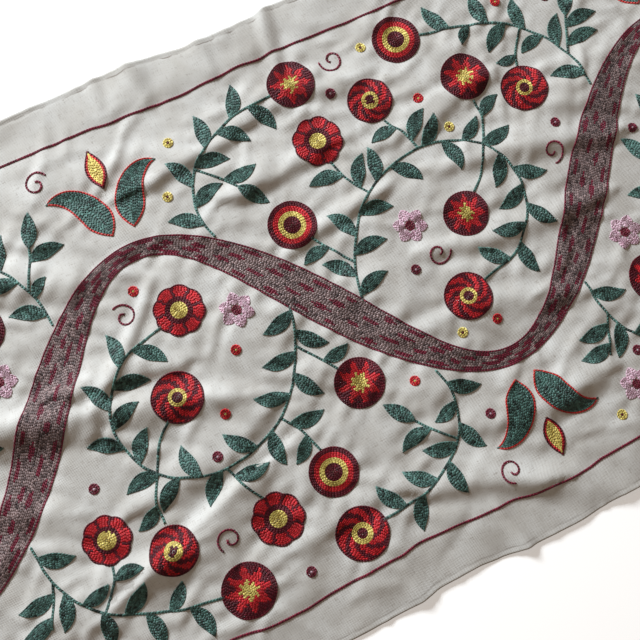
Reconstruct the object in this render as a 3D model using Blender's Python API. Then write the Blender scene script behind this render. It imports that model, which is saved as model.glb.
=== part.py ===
"""Suzani textile: one length of embroidered cotton, lying face up on a flat surface in its soft folds.

The cloth runs along X and its two selvages lie along Y. Its underside touches the surface at Z = 0,
and rises off it in the long soft ridges and small dents of a cloth that has been unfolded by hand.
The cloth is a single piece: its two long edges are selvages and its two short ends are turned hems.
"""

from collections import namedtuple

import bmesh
import bpy
import numpy as np

MM = 0.001

# Driving dimensions, in metres.
LENGTH = 1.000
WIDTH = 0.504
THICKNESS = 0.0012
HEM_DEPTH = 0.010
HEM_RISE = 0.0008
HEM_SLOPE = 0.0015

# The grid that the folds are worked out on, and the share of it that is kept where the cloth bends.
GRID_STEP = 0.005
KEPT_SHARE = 0.100

# Folds lower than this stay flat on the surface.
LIFT_OFF = 0.0004

# How many of its widths a fold runs on past each end, and how far it narrows there.
RUN_OUT = 2.0
END_WIDTH = 0.55

COTTON_COLOUR = (0.62, 0.60, 0.56, 1.0)
COTTON_ROUGHNESS = 0.9

# A fold is a soft ridge along a bowed line from start to end. Its top rises from rise_start to rise_end,
# and it falls away over width_left and width_right, as seen looking from start to end, and more slowly
# past its two ends. A negative rise is a dent. All values are in millimetres.
Fold = namedtuple("Fold", "name start end bow rise_start rise_end width_left width_right")

FOLDS = (
    Fold("long ridge", (-350, 33), (-100, -33), 5, 9.5, 4.6, 15, 19),
    Fold("long ridge tip", (-103, -32), (-92, -50), 2, 3.0, 1.0, 8, 9),
    Fold("second ridge", (-205, 19), (-122, 5), 3, 4.2, 2.0, 17, 9),
    Fold("rising crease", (-190, 4), (-116, 72), -3, 2.6, 1.2, 8, 7),
    Fold("faint crease", (-192, -24), (-165, -48), 0, 1.5, 1.0, 6, 6),
    Fold("short dent", (-196, -19), (-211, -40), 0, -1.4, -1.0, 5, 5),
    Fold("lower ridge", (-116, -104), (-200, -130), 3, 5.4, 5.0, 30, 8),
    Fold("lower ridge tail", (-200, -130), (-300, -142), -6, 4.6, 2.4, 24, 14),
    Fold("shoulder above lower ridge", (-90, -66), (-178, -84), 4, 2.6, 3.2, 16, 22),
    Fold("upper left ridge", (-78, 152), (-6, 160), 4, 3.6, 2.2, 20, 11),
    Fold("upper middle ridge", (-12, 112), (52, 116), 3, 3.6, 2.4, 18, 10),
    Fold("top centre swell", (10, 178), (92, 166), 6, 2.2, 2.8, 22, 18),
    Fold("branch ridge", (8, 52), (92, 66), 3, 2.2, 1.8, 10, 9),
    Fold("upper right ridge", (110, 104), (206, 118), -5, 2.0, 3.0, 16, 14),
    Fold("right long ridge", (150, 62), (292, 30), 6, 2.4, 3.8, 18, 13),
    Fold("right low ridge", (118, 2), (256, -14), -5, 2.6, 3.6, 15, 13),
    Fold("right soft ridge", (76, -54), (196, -76), 5, 2.0, 3.0, 13, 16),
    Fold("right swell", (60, -138), (178, -150), -6, 2.2, 3.6, 20, 16),
    Fold("foot ridge", (24, -176), (104, -206), 5, 4.0, 6.4, 16, 9),
    Fold("foot ridge run-out", (104, -206), (172, -254), 3, 6.2, 3.6, 14, 11),
    Fold("lower middle ridge", (-78, -168), (6, -158), 4, 2.4, 2.0, 18, 14),
    Fold("left middle swell", (-150, 96), (-232, 132), 4, 2.4, 3.6, 18, 20),
    Fold("left far ridge", (-262, -58), (-372, -20), -8, 3.0, 5.0, 20, 16),
    Fold("left end ridge", (-396, -196), (-452, -34), 10, 5.4, 3.4, 17, 24),
    Fold("left end swell", (-350, 118), (-462, 168), 6, 3.4, 4.6, 22, 17),
    Fold("right end ridge", (372, 176), (430, 20), -9, 3.2, 5.8, 22, 16),
    Fold("right end swell", (330, -96), (470, -142), 7, 3.8, 4.4, 18, 22),
    Fold("right corner ridge", (262, -170), (344, -252), 5, 2.4, 4.4, 18, 14),
    Fold("right top ridge", (258, 196), (300, 254), -2, 1.6, 3.4, 13, 11),
    Fold("top edge flute 1", (-92, 222), (-86, 256), 0, 0.8, 2.6, 9, 7),
    Fold("top edge flute 2", (-54, 216), (-57, 256), 0, 1.2, 3.2, 8, 10),
    Fold("top edge flute 3", (7, 222), (4, 256), 0, 1.0, 3.4, 7, 9),
    Fold("top edge crease", (59, 200), (70, 256), 2, 1.4, 3.4, 7, 9),
    Fold("top edge flute 4", (164, 220), (158, 256), 0, 0.8, 2.8, 10, 8),
    Fold("top edge flute 5", (-204, 218), (-212, 256), 0, 1.0, 3.0, 9, 12),
    Fold("top edge flute 6", (-330, 214), (-322, 256), 0, 0.8, 2.6, 11, 9),
    Fold("low edge crease", (66, -214), (75, -256), 0, 1.6, 3.6, 8, 6),
    Fold("low edge flute 1", (-24, -224), (-20, -256), 0, 0.8, 2.2, 9, 8),
    Fold("low edge flute 2", (-150, -222), (-158, -256), 0, 0.8, 3.0, 10, 9),
    Fold("low edge flute 3", (-286, -220), (-280, -256), 0, 1.0, 3.2, 9, 11),
)

# How far each long edge lies inside the widest line, along the length. All values are in millimetres.
EdgeInset = namedtuple("EdgeInset", "along inset")

TOP_EDGE = (
    EdgeInset(-500, 3.0), EdgeInset(-426, 1.0), EdgeInset(-352, 4.2), EdgeInset(-268, 1.6),
    EdgeInset(-196, 4.4), EdgeInset(-128, 1.6), EdgeInset(-70, 0.0), EdgeInset(-32, 2.0),
    EdgeInset(-6, 5.4), EdgeInset(32, 5.6), EdgeInset(52, 4.2), EdgeInset(76, 0.4),
    EdgeInset(120, 1.2), EdgeInset(168, 4.4), EdgeInset(236, 1.2), EdgeInset(312, 4.6),
    EdgeInset(398, 1.8), EdgeInset(500, 3.2),
)
LOW_EDGE = (
    EdgeInset(-500, 2.0), EdgeInset(-432, 4.4), EdgeInset(-350, 1.4), EdgeInset(-276, 4.2),
    EdgeInset(-182, 2.4), EdgeInset(-78, 0.0), EdgeInset(-29, 1.2), EdgeInset(0, 5.0),
    EdgeInset(30, 5.6), EdgeInset(49, 3.8), EdgeInset(73, 1.2), EdgeInset(118, 1.0),
    EdgeInset(166, 4.4), EdgeInset(246, 1.4), EdgeInset(328, 5.0), EdgeInset(412, 2.4),
    EdgeInset(500, 3.4),
)
# How far each short end lies inside the full length, across the width.
LEFT_END = (
    EdgeInset(-252, 1.8), EdgeInset(-150, 0.0), EdgeInset(-40, 2.2), EdgeInset(90, 0.6), EdgeInset(252, 2.4),
)
RIGHT_END = (
    EdgeInset(-252, 2.2), EdgeInset(-120, 0.8), EdgeInset(20, 2.0), EdgeInset(140, 0.0), EdgeInset(252, 1.6),
)


def clear_scene():
    """Removes every object, so that the cloth is alone in the scene."""
    for old in list(bpy.data.objects):
        bpy.data.objects.remove(old)


def smooth(t):
    """A soft step from 0 to 1."""
    t = np.clip(t, 0.0, 1.0)
    return t * t * (3.0 - 2.0 * t)


def inset_at(rows, along):
    """The inset in metres at each place along an edge, turning smoothly through the rows."""
    places = np.array([row.along for row in rows]) * MM
    insets = np.array([row.inset for row in rows]) * MM
    index = np.clip(np.searchsorted(places, along) - 1, 0, len(rows) - 2)
    share = (along - places[index]) / (places[index + 1] - places[index])
    return insets[index] + (insets[index + 1] - insets[index]) * smooth(share)


def fold_height(fold, x, y):
    """The height in metres that one fold adds at each point."""
    start = np.array(fold.start) * MM
    chord = np.array(fold.end) * MM - start
    length = np.hypot(*chord)
    direction = chord / length
    along = ((x - start[0]) * direction[0] + (y - start[1]) * direction[1]) / length
    inside = np.clip(along, 0.0, 1.0)
    across = (y - start[1]) * direction[0] - (x - start[0]) * direction[1]
    across = across - fold.bow * MM * 4.0 * inside * (1.0 - inside)
    side_width = np.where(across > 0.0, fold.width_left, fold.width_right) * MM
    fullness = np.sin(np.pi * np.clip(0.12 + 0.76 * inside, 0.0, 1.0))
    width = side_width * (END_WIDTH + (1.0 - END_WIDTH) * fullness)
    past_end = (along - inside) * length / (RUN_OUT * width)
    rise = (fold.rise_start + (fold.rise_end - fold.rise_start) * smooth(inside)) * MM
    return rise * np.exp(-((across / width) ** 2) - past_end**2)


def cloth_lift(x, y):
    """The height of the cloth's underside over the surface, zero where it lies flat."""
    total = sum(fold_height(fold, x, y) for fold in FOLDS)
    return np.maximum(total - LIFT_OFF, 0.0)


def left_end(y):
    """Where the cloth's left end lies, at each place across the width."""
    return -LENGTH / 2.0 + inset_at(LEFT_END, y)


def right_end(y):
    """Where the cloth's right end lies, at each place across the width."""
    return LENGTH / 2.0 - inset_at(RIGHT_END, y)


def hem_rise(x, y):
    """The extra thickness of the turned hem at each point."""
    from_end = np.minimum(x - left_end(y), right_end(y) - x)
    return HEM_RISE * (1.0 - smooth((from_end - HEM_DEPTH) / HEM_SLOPE))


def set_heights(verts, thickness, hem_share):
    """Lifts vertices over the folds, by a thickness and a share of the turned hem's rise."""
    corners = np.array([vert.co for vert in verts])
    x, y = corners[:, 0], corners[:, 1]
    heights = thickness + cloth_lift(x, y) + hem_share * hem_rise(x, y)
    for vert, height in zip(verts, heights):
        vert.co.z = height


def grid_places():
    """Grid lines along the length, from -1 to 1, with close ones where the hem steps down."""
    count = round(LENGTH / GRID_STEP)
    even = np.linspace(-1.0, 1.0, count + 1)
    step_down = 1.0 - 2.0 * np.array([HEM_DEPTH, HEM_DEPTH + HEM_SLOPE]) / LENGTH
    even = even[(np.abs(even) < step_down[1] - GRID_STEP / LENGTH) | (np.abs(even) == 1.0)]
    return np.sort(np.concatenate([even, step_down, -step_down]))


def upper_face():
    """The upper face as one open grid, laid out to the uneven edges and lifted over the folds."""
    places = grid_places()
    rows = round(WIDTH / GRID_STEP)
    mesh = bmesh.new()
    bmesh.ops.create_grid(mesh, x_segments=len(places) - 1, y_segments=rows, size=1.0)
    corners = np.array([vert.co for vert in mesh.verts])
    along = np.interp(corners[:, 0], np.linspace(-1.0, 1.0, len(places)), places)
    across = corners[:, 1]
    left, right = left_end(across * WIDTH / 2.0), right_end(across * WIDTH / 2.0)
    x = left + (right - left) * (along + 1.0) / 2.0
    low, top = -WIDTH / 2.0 + inset_at(LOW_EDGE, x), WIDTH / 2.0 - inset_at(TOP_EDGE, x)
    y = low + (top - low) * (across + 1.0) / 2.0
    for vert, place in zip(mesh.verts, zip(x, y)):
        vert.co.xy = place
    set_heights(mesh.verts, THICKNESS, 1.0)
    return mesh


def thinned(mesh):
    """The same face with large triangles where it is flat and small ones where it bends."""
    data = bpy.data.meshes.new("upper_face")
    mesh.to_mesh(data)
    mesh.free()
    helper = bpy.data.objects.new("upper_face", data)
    bpy.context.scene.collection.objects.link(helper)
    decimate = helper.modifiers.new("thin", "DECIMATE")
    decimate.ratio = KEPT_SHARE
    decimate.use_collapse_triangulate = True
    graph = bpy.context.evaluated_depsgraph_get()
    kept = bmesh.new()
    kept.from_object(helper, graph)
    bpy.data.objects.remove(helper)
    bpy.data.meshes.remove(data)
    bmesh.ops.beautify_fill(kept, faces=kept.faces, edges=kept.edges, method="ANGLE")
    return kept


def give_thickness(mesh):
    """Turns the open face into a closed sheet, its underside straight below its upper face."""
    upper = mesh.verts[:]
    under = bmesh.ops.extrude_face_region(mesh, geom=mesh.faces[:], use_keep_orig=True)
    set_heights(upper, THICKNESS, 1.0)
    set_heights([item for item in under["geom"] if isinstance(item, bmesh.types.BMVert)], 0.0, 0.0)
    bmesh.ops.triangulate(mesh, faces=mesh.faces[:])
    bmesh.ops.recalc_face_normals(mesh, faces=mesh.faces)


def cotton():
    """Plain-woven cream cotton."""
    material = bpy.data.materials.new("cream_cotton")
    material.use_nodes = True
    shader = material.node_tree.nodes["Principled BSDF"]
    shader.inputs["Base Color"].default_value = COTTON_COLOUR
    shader.inputs["Roughness"].default_value = COTTON_ROUGHNESS
    shader.inputs["Metallic"].default_value = 0.0
    return material


def make_cloth():
    """The whole cloth: one closed sheet with its folds, its uneven selvages and its two hems."""
    mesh = thinned(upper_face())
    give_thickness(mesh)
    data = bpy.data.meshes.new("suzani_cloth")
    mesh.to_mesh(data)
    mesh.free()
    data.shade_smooth()
    data.materials.append(cotton())
    cloth = bpy.data.objects.new("suzani_cloth", data)
    bpy.context.scene.collection.objects.link(cloth)
    return cloth


def main():
    """Builds the textile."""
    clear_scene()
    make_cloth()


main()
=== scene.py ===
"""The looks of a suzani textile: cream cotton worked all over in chain stitch, lying in its soft folds.

Lengths in the design and in the fold tables are millimetres, as a maker would mark them on the cloth.
Only the finished meshes are in metres. X runs along the cloth and Y across it, from selvage to selvage.
"""

import logging
import math
from collections.abc import Mapping, Sequence
from dataclasses import dataclass, field
from enum import Enum

import bmesh
import bpy
import numpy as np
from mathutils import Matrix, Vector


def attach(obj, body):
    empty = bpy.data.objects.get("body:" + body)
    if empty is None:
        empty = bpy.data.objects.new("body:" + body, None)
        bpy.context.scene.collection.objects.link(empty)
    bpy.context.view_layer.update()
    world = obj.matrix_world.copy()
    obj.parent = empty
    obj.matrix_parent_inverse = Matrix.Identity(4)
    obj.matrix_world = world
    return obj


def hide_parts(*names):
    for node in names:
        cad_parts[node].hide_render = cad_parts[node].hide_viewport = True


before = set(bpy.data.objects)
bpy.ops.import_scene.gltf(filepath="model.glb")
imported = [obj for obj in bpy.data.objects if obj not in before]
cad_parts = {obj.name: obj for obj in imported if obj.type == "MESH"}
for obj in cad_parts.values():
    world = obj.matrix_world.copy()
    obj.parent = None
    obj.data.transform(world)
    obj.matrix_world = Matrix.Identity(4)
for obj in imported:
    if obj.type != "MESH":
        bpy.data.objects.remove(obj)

log = logging.getLogger("suzani")

MM = 0.001
HALF_LENGTH = 500.0
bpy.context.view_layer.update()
CLOTH_NODE = "suzani_cloth"
SEED = 20

Points = np.ndarray


def smooth(t: np.ndarray) -> np.ndarray:
    """Gives a soft step from 0 to 1."""
    t = np.clip(t, 0.0, 1.0)
    return t * t * (3.0 - 2.0 * t)


def linear_colour(code: str) -> tuple[float, float, float, float]:
    """Turns an sRGB hex colour into a linear one.

    Args:
        code: the colour, such as "#DCDFE0".

    Returns:
        Red, green, blue and alpha, linear.
    """
    channels = [int(code[i : i + 2], 16) / 255.0 for i in (1, 3, 5)]
    red, green, blue = (c / 12.92 if c <= 0.04045 else ((c + 0.055) / 1.055) ** 2.4 for c in channels)
    return red, green, blue, 1.0


def add_node(
    tree: bpy.types.NodeTree,
    kind: str,
    inputs: Mapping[str | int, object] | None = None,
    **settings: object,
) -> bpy.types.Node:
    """Adds one shader node with its settings and its links.

    Args:
        tree: the material's node tree.
        kind: the node's type, such as "ShaderNodeTexNoise".
        inputs: for each input socket, a value or the output socket that feeds it.
        settings: the node's own properties.

    Returns:
        The new node.
    """
    node = tree.nodes.new(kind)
    for name, value in settings.items():
        setattr(node, name, value)
    for socket, value in (inputs or {}).items():
        if isinstance(value, bpy.types.NodeSocket):
            tree.links.new(value, node.inputs[socket])
        else:
            node.inputs[socket].default_value = value
    return node


def plain_material(name: str) -> tuple[bpy.types.Material, bpy.types.Node]:
    """Makes a material with one Principled shader.

    Args:
        name: the material's name.

    Returns:
        The material and its shader.
    """
    material = bpy.data.materials.new(name)
    material.use_nodes = True
    return material, material.node_tree.nodes["Principled BSDF"]


# The shape of the cloth


@dataclass(frozen=True)
class Fold:
    """A soft ridge along a bowed line, or a dent where its rise is negative. All in millimetres.

    Its top goes from rise_start to rise_end, and it falls away over width_left and width_right, as seen
    looking from start to end, and more slowly past its two ends.
    """

    name: str
    start: tuple[float, float]
    end: tuple[float, float]
    bow: float
    rise_start: float
    rise_end: float
    width_left: float
    width_right: float

    RUN_OUT = 2.0
    END_WIDTH = 0.55

    def height(self, x: np.ndarray, y: np.ndarray) -> np.ndarray:
        """Gives the height that this fold adds at each point.

        Args:
            x: the points' places along the cloth, in millimetres.
            y: their places across it.

        Returns:
            The height, in millimetres.
        """
        chord = np.subtract(self.end, self.start)
        length = float(np.hypot(*chord))
        direction = chord / length
        along = ((x - self.start[0]) * direction[0] + (y - self.start[1]) * direction[1]) / length
        inside = np.clip(along, 0.0, 1.0)
        across = (y - self.start[1]) * direction[0] - (x - self.start[0]) * direction[1]
        across = across - self.bow * 4.0 * inside * (1.0 - inside)
        side_width = np.where(across > 0.0, self.width_left, self.width_right)
        fullness = np.sin(np.pi * np.clip(0.12 + 0.76 * inside, 0.0, 1.0))
        width = side_width * (self.END_WIDTH + (1.0 - self.END_WIDTH) * fullness)
        past_end = (along - inside) * length / (self.RUN_OUT * width)
        rise = self.rise_start + (self.rise_end - self.rise_start) * smooth(inside)
        return rise * np.exp(-((across / width) ** 2) - past_end**2)


FOLDS = (
    Fold("long ridge", (-350, 33), (-100, -33), 5, 9.5, 4.6, 15, 19),
    Fold("long ridge tip", (-103, -32), (-92, -50), 2, 3.0, 1.0, 8, 9),
    Fold("second ridge", (-205, 19), (-122, 5), 3, 4.2, 2.0, 17, 9),
    Fold("rising crease", (-190, 4), (-116, 72), -3, 2.6, 1.2, 8, 7),
    Fold("faint crease", (-192, -24), (-165, -48), 0, 1.5, 1.0, 6, 6),
    Fold("short dent", (-196, -19), (-211, -40), 0, -1.4, -1.0, 5, 5),
    Fold("lower ridge", (-116, -104), (-200, -130), 3, 5.4, 5.0, 30, 8),
    Fold("lower ridge tail", (-200, -130), (-300, -142), -6, 4.6, 2.4, 24, 14),
    Fold("shoulder above lower ridge", (-90, -66), (-178, -84), 4, 2.6, 3.2, 16, 22),
    Fold("upper left ridge", (-78, 152), (-6, 160), 4, 3.6, 2.2, 20, 11),
    Fold("upper middle ridge", (-12, 112), (52, 116), 3, 3.6, 2.4, 18, 10),
    Fold("top centre swell", (10, 178), (92, 166), 6, 2.2, 2.8, 22, 18),
    Fold("branch ridge", (8, 52), (92, 66), 3, 2.2, 1.8, 10, 9),
    Fold("upper right ridge", (110, 104), (206, 118), -5, 2.0, 3.0, 16, 14),
    Fold("right long ridge", (150, 62), (292, 30), 6, 2.4, 3.8, 18, 13),
    Fold("right low ridge", (118, 2), (256, -14), -5, 2.6, 3.6, 15, 13),
    Fold("right soft ridge", (76, -54), (196, -76), 5, 2.0, 3.0, 13, 16),
    Fold("right swell", (60, -138), (178, -150), -6, 2.2, 3.6, 20, 16),
    Fold("foot ridge", (24, -176), (104, -206), 5, 3.6, 4.8, 18, 12),
    Fold("foot ridge run-out", (104, -206), (172, -254), 3, 4.4, 3.0, 17, 15),
    Fold("lower middle ridge", (-78, -168), (6, -158), 4, 2.4, 2.0, 18, 14),
    Fold("left middle swell", (-150, 96), (-232, 132), 4, 2.4, 3.6, 18, 20),
    Fold("left far ridge", (-262, -58), (-372, -20), -8, 3.0, 5.0, 20, 16),
    Fold("left end ridge", (-396, -196), (-452, -34), 10, 5.4, 3.4, 17, 24),
    Fold("left end swell", (-350, 118), (-462, 168), 6, 3.4, 4.6, 22, 17),
    Fold("right end ridge", (372, 176), (430, 20), -9, 3.2, 5.8, 22, 16),
    Fold("right end swell", (330, -96), (470, -142), 7, 3.8, 4.4, 18, 22),
    Fold("right corner ridge", (262, -170), (344, -252), 5, 2.4, 4.4, 18, 14),
    Fold("right top ridge", (258, 196), (300, 254), -2, 1.6, 3.4, 13, 11),
    Fold("top edge flute 1", (-92, 222), (-86, 256), 0, 0.8, 2.6, 9, 7),
    Fold("top edge flute 2", (-54, 216), (-57, 256), 0, 1.2, 3.2, 8, 10),
    Fold("top edge flute 3", (7, 222), (4, 256), 0, 1.0, 3.4, 7, 9),
    Fold("top edge crease", (59, 200), (70, 256), 2, 1.4, 3.4, 7, 9),
    Fold("top edge flute 4", (164, 220), (158, 256), 0, 0.8, 2.8, 10, 8),
    Fold("top edge flute 5", (-204, 218), (-212, 256), 0, 1.0, 3.0, 9, 12),
    Fold("top edge flute 6", (-330, 214), (-322, 256), 0, 0.8, 2.6, 11, 9),
    Fold("low edge crease", (66, -214), (75, -256), 0, 1.6, 3.6, 8, 6),
    Fold("low edge flute 1", (-24, -224), (-20, -256), 0, 0.8, 2.2, 9, 8),
    Fold("low edge flute 2", (-150, -222), (-158, -256), 0, 0.8, 3.0, 10, 9),
    Fold("low edge flute 3", (-286, -220), (-280, -256), 0, 1.0, 3.2, 9, 11),
)

# How far an edge lies inside the widest line, as (place along it, inset), in millimetres.
TOP_EDGE = (
    (-500, 3.0), (-426, 1.0), (-352, 4.2), (-268, 1.6), (-196, 4.4), (-128, 1.6), (-70, 0.0), (-32, 2.0),
    (-6, 5.4), (32, 5.6), (52, 4.2), (76, 0.4), (120, 1.2), (168, 4.4), (236, 1.2), (312, 4.6),
    (398, 1.8), (500, 3.2),
)
LOW_EDGE = (
    (-500, 2.0), (-432, 4.4), (-350, 1.4), (-276, 4.2), (-182, 2.4), (-78, 0.0), (-29, 1.2), (0, 5.0),
    (30, 5.6), (49, 3.8), (73, 1.2), (118, 1.0), (166, 4.4), (246, 1.4), (328, 5.0), (412, 2.4),
    (500, 3.4),
)
LEFT_END = ((-252, 1.8), (-150, 0.0), (-40, 2.2), (90, 0.6), (252, 2.4))
RIGHT_END = ((-252, 2.2), (-120, 0.8), (20, 2.0), (140, 0.0), (252, 1.6))

# Where the two crimson border lines run, as (place along the cloth, distance from its middle).
TOP_LINE = (
    (-500, 212.5), (-300, 210.0), (-180, 213.0), (-114, 212.7), (-37, 209.5), (35, 212.5), (106, 212.3),
    (184, 211.4), (330, 213.4), (500, 210.5),
)
LOW_LINE = (
    (-500, 211.0), (-330, 214.5), (-230, 209.6), (-173, 209.6), (-127, 215.1), (-59, 211.1), (3, 208.6),
    (64, 211.8), (121, 215.8), (240, 211.0), (380, 214.0), (500, 212.0),
)


def along_rows(rows: Sequence[tuple[float, float]], place: np.ndarray) -> np.ndarray:
    """Reads a table of (place, value), turning smoothly through its rows.

    Args:
        rows: the table, in order of place.
        place: where to read it.

    Returns:
        The value at each place.
    """
    places, values = np.array(rows, dtype=float).T
    index = np.clip(np.searchsorted(places, place) - 1, 0, len(rows) - 2)
    share = (place - places[index]) / (places[index + 1] - places[index])
    return values[index] + (values[index + 1] - values[index]) * smooth(share)


@dataclass(frozen=True)
class SoftNoise:
    """A smooth random field, for what is uneven in cloth that was woven and laid out by hand."""

    seed: int
    cell: float
    reach: float = 600.0

    def at(self, x: np.ndarray, y: np.ndarray) -> np.ndarray:
        """Gives values of about -1 to 1 that change over one cell.

        Args:
            x: the points' places along the cloth, in millimetres.
            y: their places across it.

        Returns:
            The field's value at each point.
        """
        count = int(2.0 * self.reach / self.cell) + 3
        knots = np.random.default_rng(self.seed).uniform(-1.0, 1.0, (count, count))
        gx, gy = (np.clip(v + self.reach, 0.0, 2.0 * self.reach) / self.cell for v in (x, y))
        ix, iy = gx.astype(int), gy.astype(int)
        fx, fy = smooth(gx - ix), smooth(gy - iy)
        low = knots[iy, ix] * (1.0 - fx) + knots[iy, ix + 1] * fx
        high = knots[iy + 1, ix] * (1.0 - fx) + knots[iy + 1, ix + 1] * fx
        return low * (1.0 - fy) + high * fy


@dataclass(frozen=True)
class ClothForm:
    """The cloth's outline, its folds and its edges. All in millimetres.

    A place on the cloth is (s, t), each from -1 to 1, from end to end and from selvage to selvage.
    """

    length: float = 2.0 * HALF_LENGTH
    width: float = 504.0
    lift_off: float = 0.4
    underside: float = 0.14
    cotton_thick: float = 0.6
    hem_depth: float = 10.0
    hem_slope: float = 2.0
    hem_rise: float = 0.6
    selvage_depth: float = 4.2
    selvage_rise: float = 0.28
    selvage_groove: float = 0.22
    selvage_step: float = 1.2
    groove_width: float = 0.9
    selvage_patch: float = 22.0
    low_selvage_share: float = 0.5
    tucks_per_edge: int = 26
    tuck_rise: float = 1.1
    tuck_widths: tuple[float, float] = (1.8, 4.2)
    tuck_reach: float = 6.5

    def left_end(self, y: np.ndarray) -> np.ndarray:
        """Gives where the left end lies, across the width."""
        return -self.length / 2.0 + along_rows(LEFT_END, y)

    def right_end(self, y: np.ndarray) -> np.ndarray:
        """Gives where the right end lies, across the width."""
        return self.length / 2.0 - along_rows(RIGHT_END, y)

    def low_edge(self, x: np.ndarray) -> np.ndarray:
        """Gives where the lower selvage lies, along the length."""
        return -self.width / 2.0 + along_rows(LOW_EDGE, x)

    def top_edge(self, x: np.ndarray) -> np.ndarray:
        """Gives where the upper selvage lies, along the length."""
        return self.width / 2.0 - along_rows(TOP_EDGE, x)

    def laid(self, s: np.ndarray, t: np.ndarray) -> tuple[np.ndarray, np.ndarray]:
        """Turns places on the cloth into X and Y, seen from above.

        Args:
            s: the places along the cloth, from -1 to 1.
            t: the places across it, from -1 to 1.

        Returns:
            X and Y, in millimetres.
        """
        left, right = self.left_end(t * self.width / 2.0), self.right_end(t * self.width / 2.0)
        x = left + (right - left) * (s + 1.0) / 2.0
        low, top = self.low_edge(x), self.top_edge(x)
        return x, low + (top - low) * (t + 1.0) / 2.0

    def place(self, x: np.ndarray, y: np.ndarray) -> tuple[np.ndarray, np.ndarray]:
        """Turns X and Y, seen from above, into places on the cloth.

        Args:
            x: the points' places along the cloth, in millimetres.
            y: their places across it.

        Returns:
            The places along and across the cloth, each from -1 to 1.
        """
        low, top = self.low_edge(x), self.top_edge(x)
        t = 2.0 * (y - low) / (top - low) - 1.0
        left, right = self.left_end(t * self.width / 2.0), self.right_end(t * self.width / 2.0)
        return 2.0 * (x - left) / (right - left) - 1.0, t

    def lift(self, x: np.ndarray, y: np.ndarray) -> np.ndarray:
        """Gives how far the folds lift the cloth off the surface that it lies on."""
        return np.maximum(sum(fold.height(x, y) for fold in FOLDS) - self.lift_off, 0.0)

    def edge_relief(self, s: np.ndarray, t: np.ndarray) -> np.ndarray:
        """Gives the relief of the hems, the selvage bands and the small tucks that stand in them.

        Args:
            s: the places along the cloth, from -1 to 1.
            t: the places across it, from -1 to 1.

        Returns:
            The height that they add, in millimetres.
        """
        from_end = (1.0 - np.abs(s)) * self.length / 2.0
        from_selvage = (1.0 - np.abs(t)) * self.width / 2.0
        hem = self.hem_rise * (1.0 - smooth((from_end - self.hem_depth) / self.hem_slope))
        # The two selvages come and go by themselves, so each reads its own line of the noise.
        come_and_go = SoftNoise(SEED + 14, self.selvage_patch).at(s * self.length / 2.0, 140.0 * np.sign(t))
        share = np.where(t > 0.0, 1.0, self.low_selvage_share)
        share *= np.clip(0.62 + 0.9 * come_and_go, 0.08, 1.25)
        inside = from_selvage - self.selvage_depth
        band = share * self.selvage_rise * (1.0 - smooth((inside + self.selvage_step) / self.selvage_step))
        groove = -share * self.selvage_groove * np.exp(-((inside / self.groove_width) ** 2))
        draws = np.random.default_rng(SEED)
        tucks = np.zeros_like(s * t)
        for side in (-1.0, 1.0):
            near = np.exp(-((from_selvage / self.tuck_reach) ** 2)) * (np.sign(t) == side)
            for index in range(self.tucks_per_edge):
                middle = (index + draws.uniform(0.15, 0.85)) / self.tucks_per_edge * 2.0 - 1.0
                wide = draws.uniform(*self.tuck_widths)
                rise = self.tuck_rise * draws.uniform(0.25, 1.0)
                tucks += rise * near * np.exp(-(((s - middle) * self.length / 2.0 / wide) ** 2))
        return hem + band + groove + tucks


# The design: where each stitch goes


class Yarn(Enum):
    """The yarns in the maker's basket."""

    RED = 0
    MAROON = 1
    YELLOW = 2
    GREEN = 3
    TAUPE = 4
    CRIMSON = 5
    SCARLET = 6
    PINK = 7
    CREAM = 8


ROW_PITCH = 1.5
STITCH_LENGTH = 2.4
STEM_WIDTH = 2.2
LINE_WIDTH = 2.2


@dataclass(frozen=True)
class StitchRow:
    """One run of chain stitches along a line of points, in millimetres."""

    points: Points
    yarn: Yarn
    width: float | np.ndarray = ROW_PITCH


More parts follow.
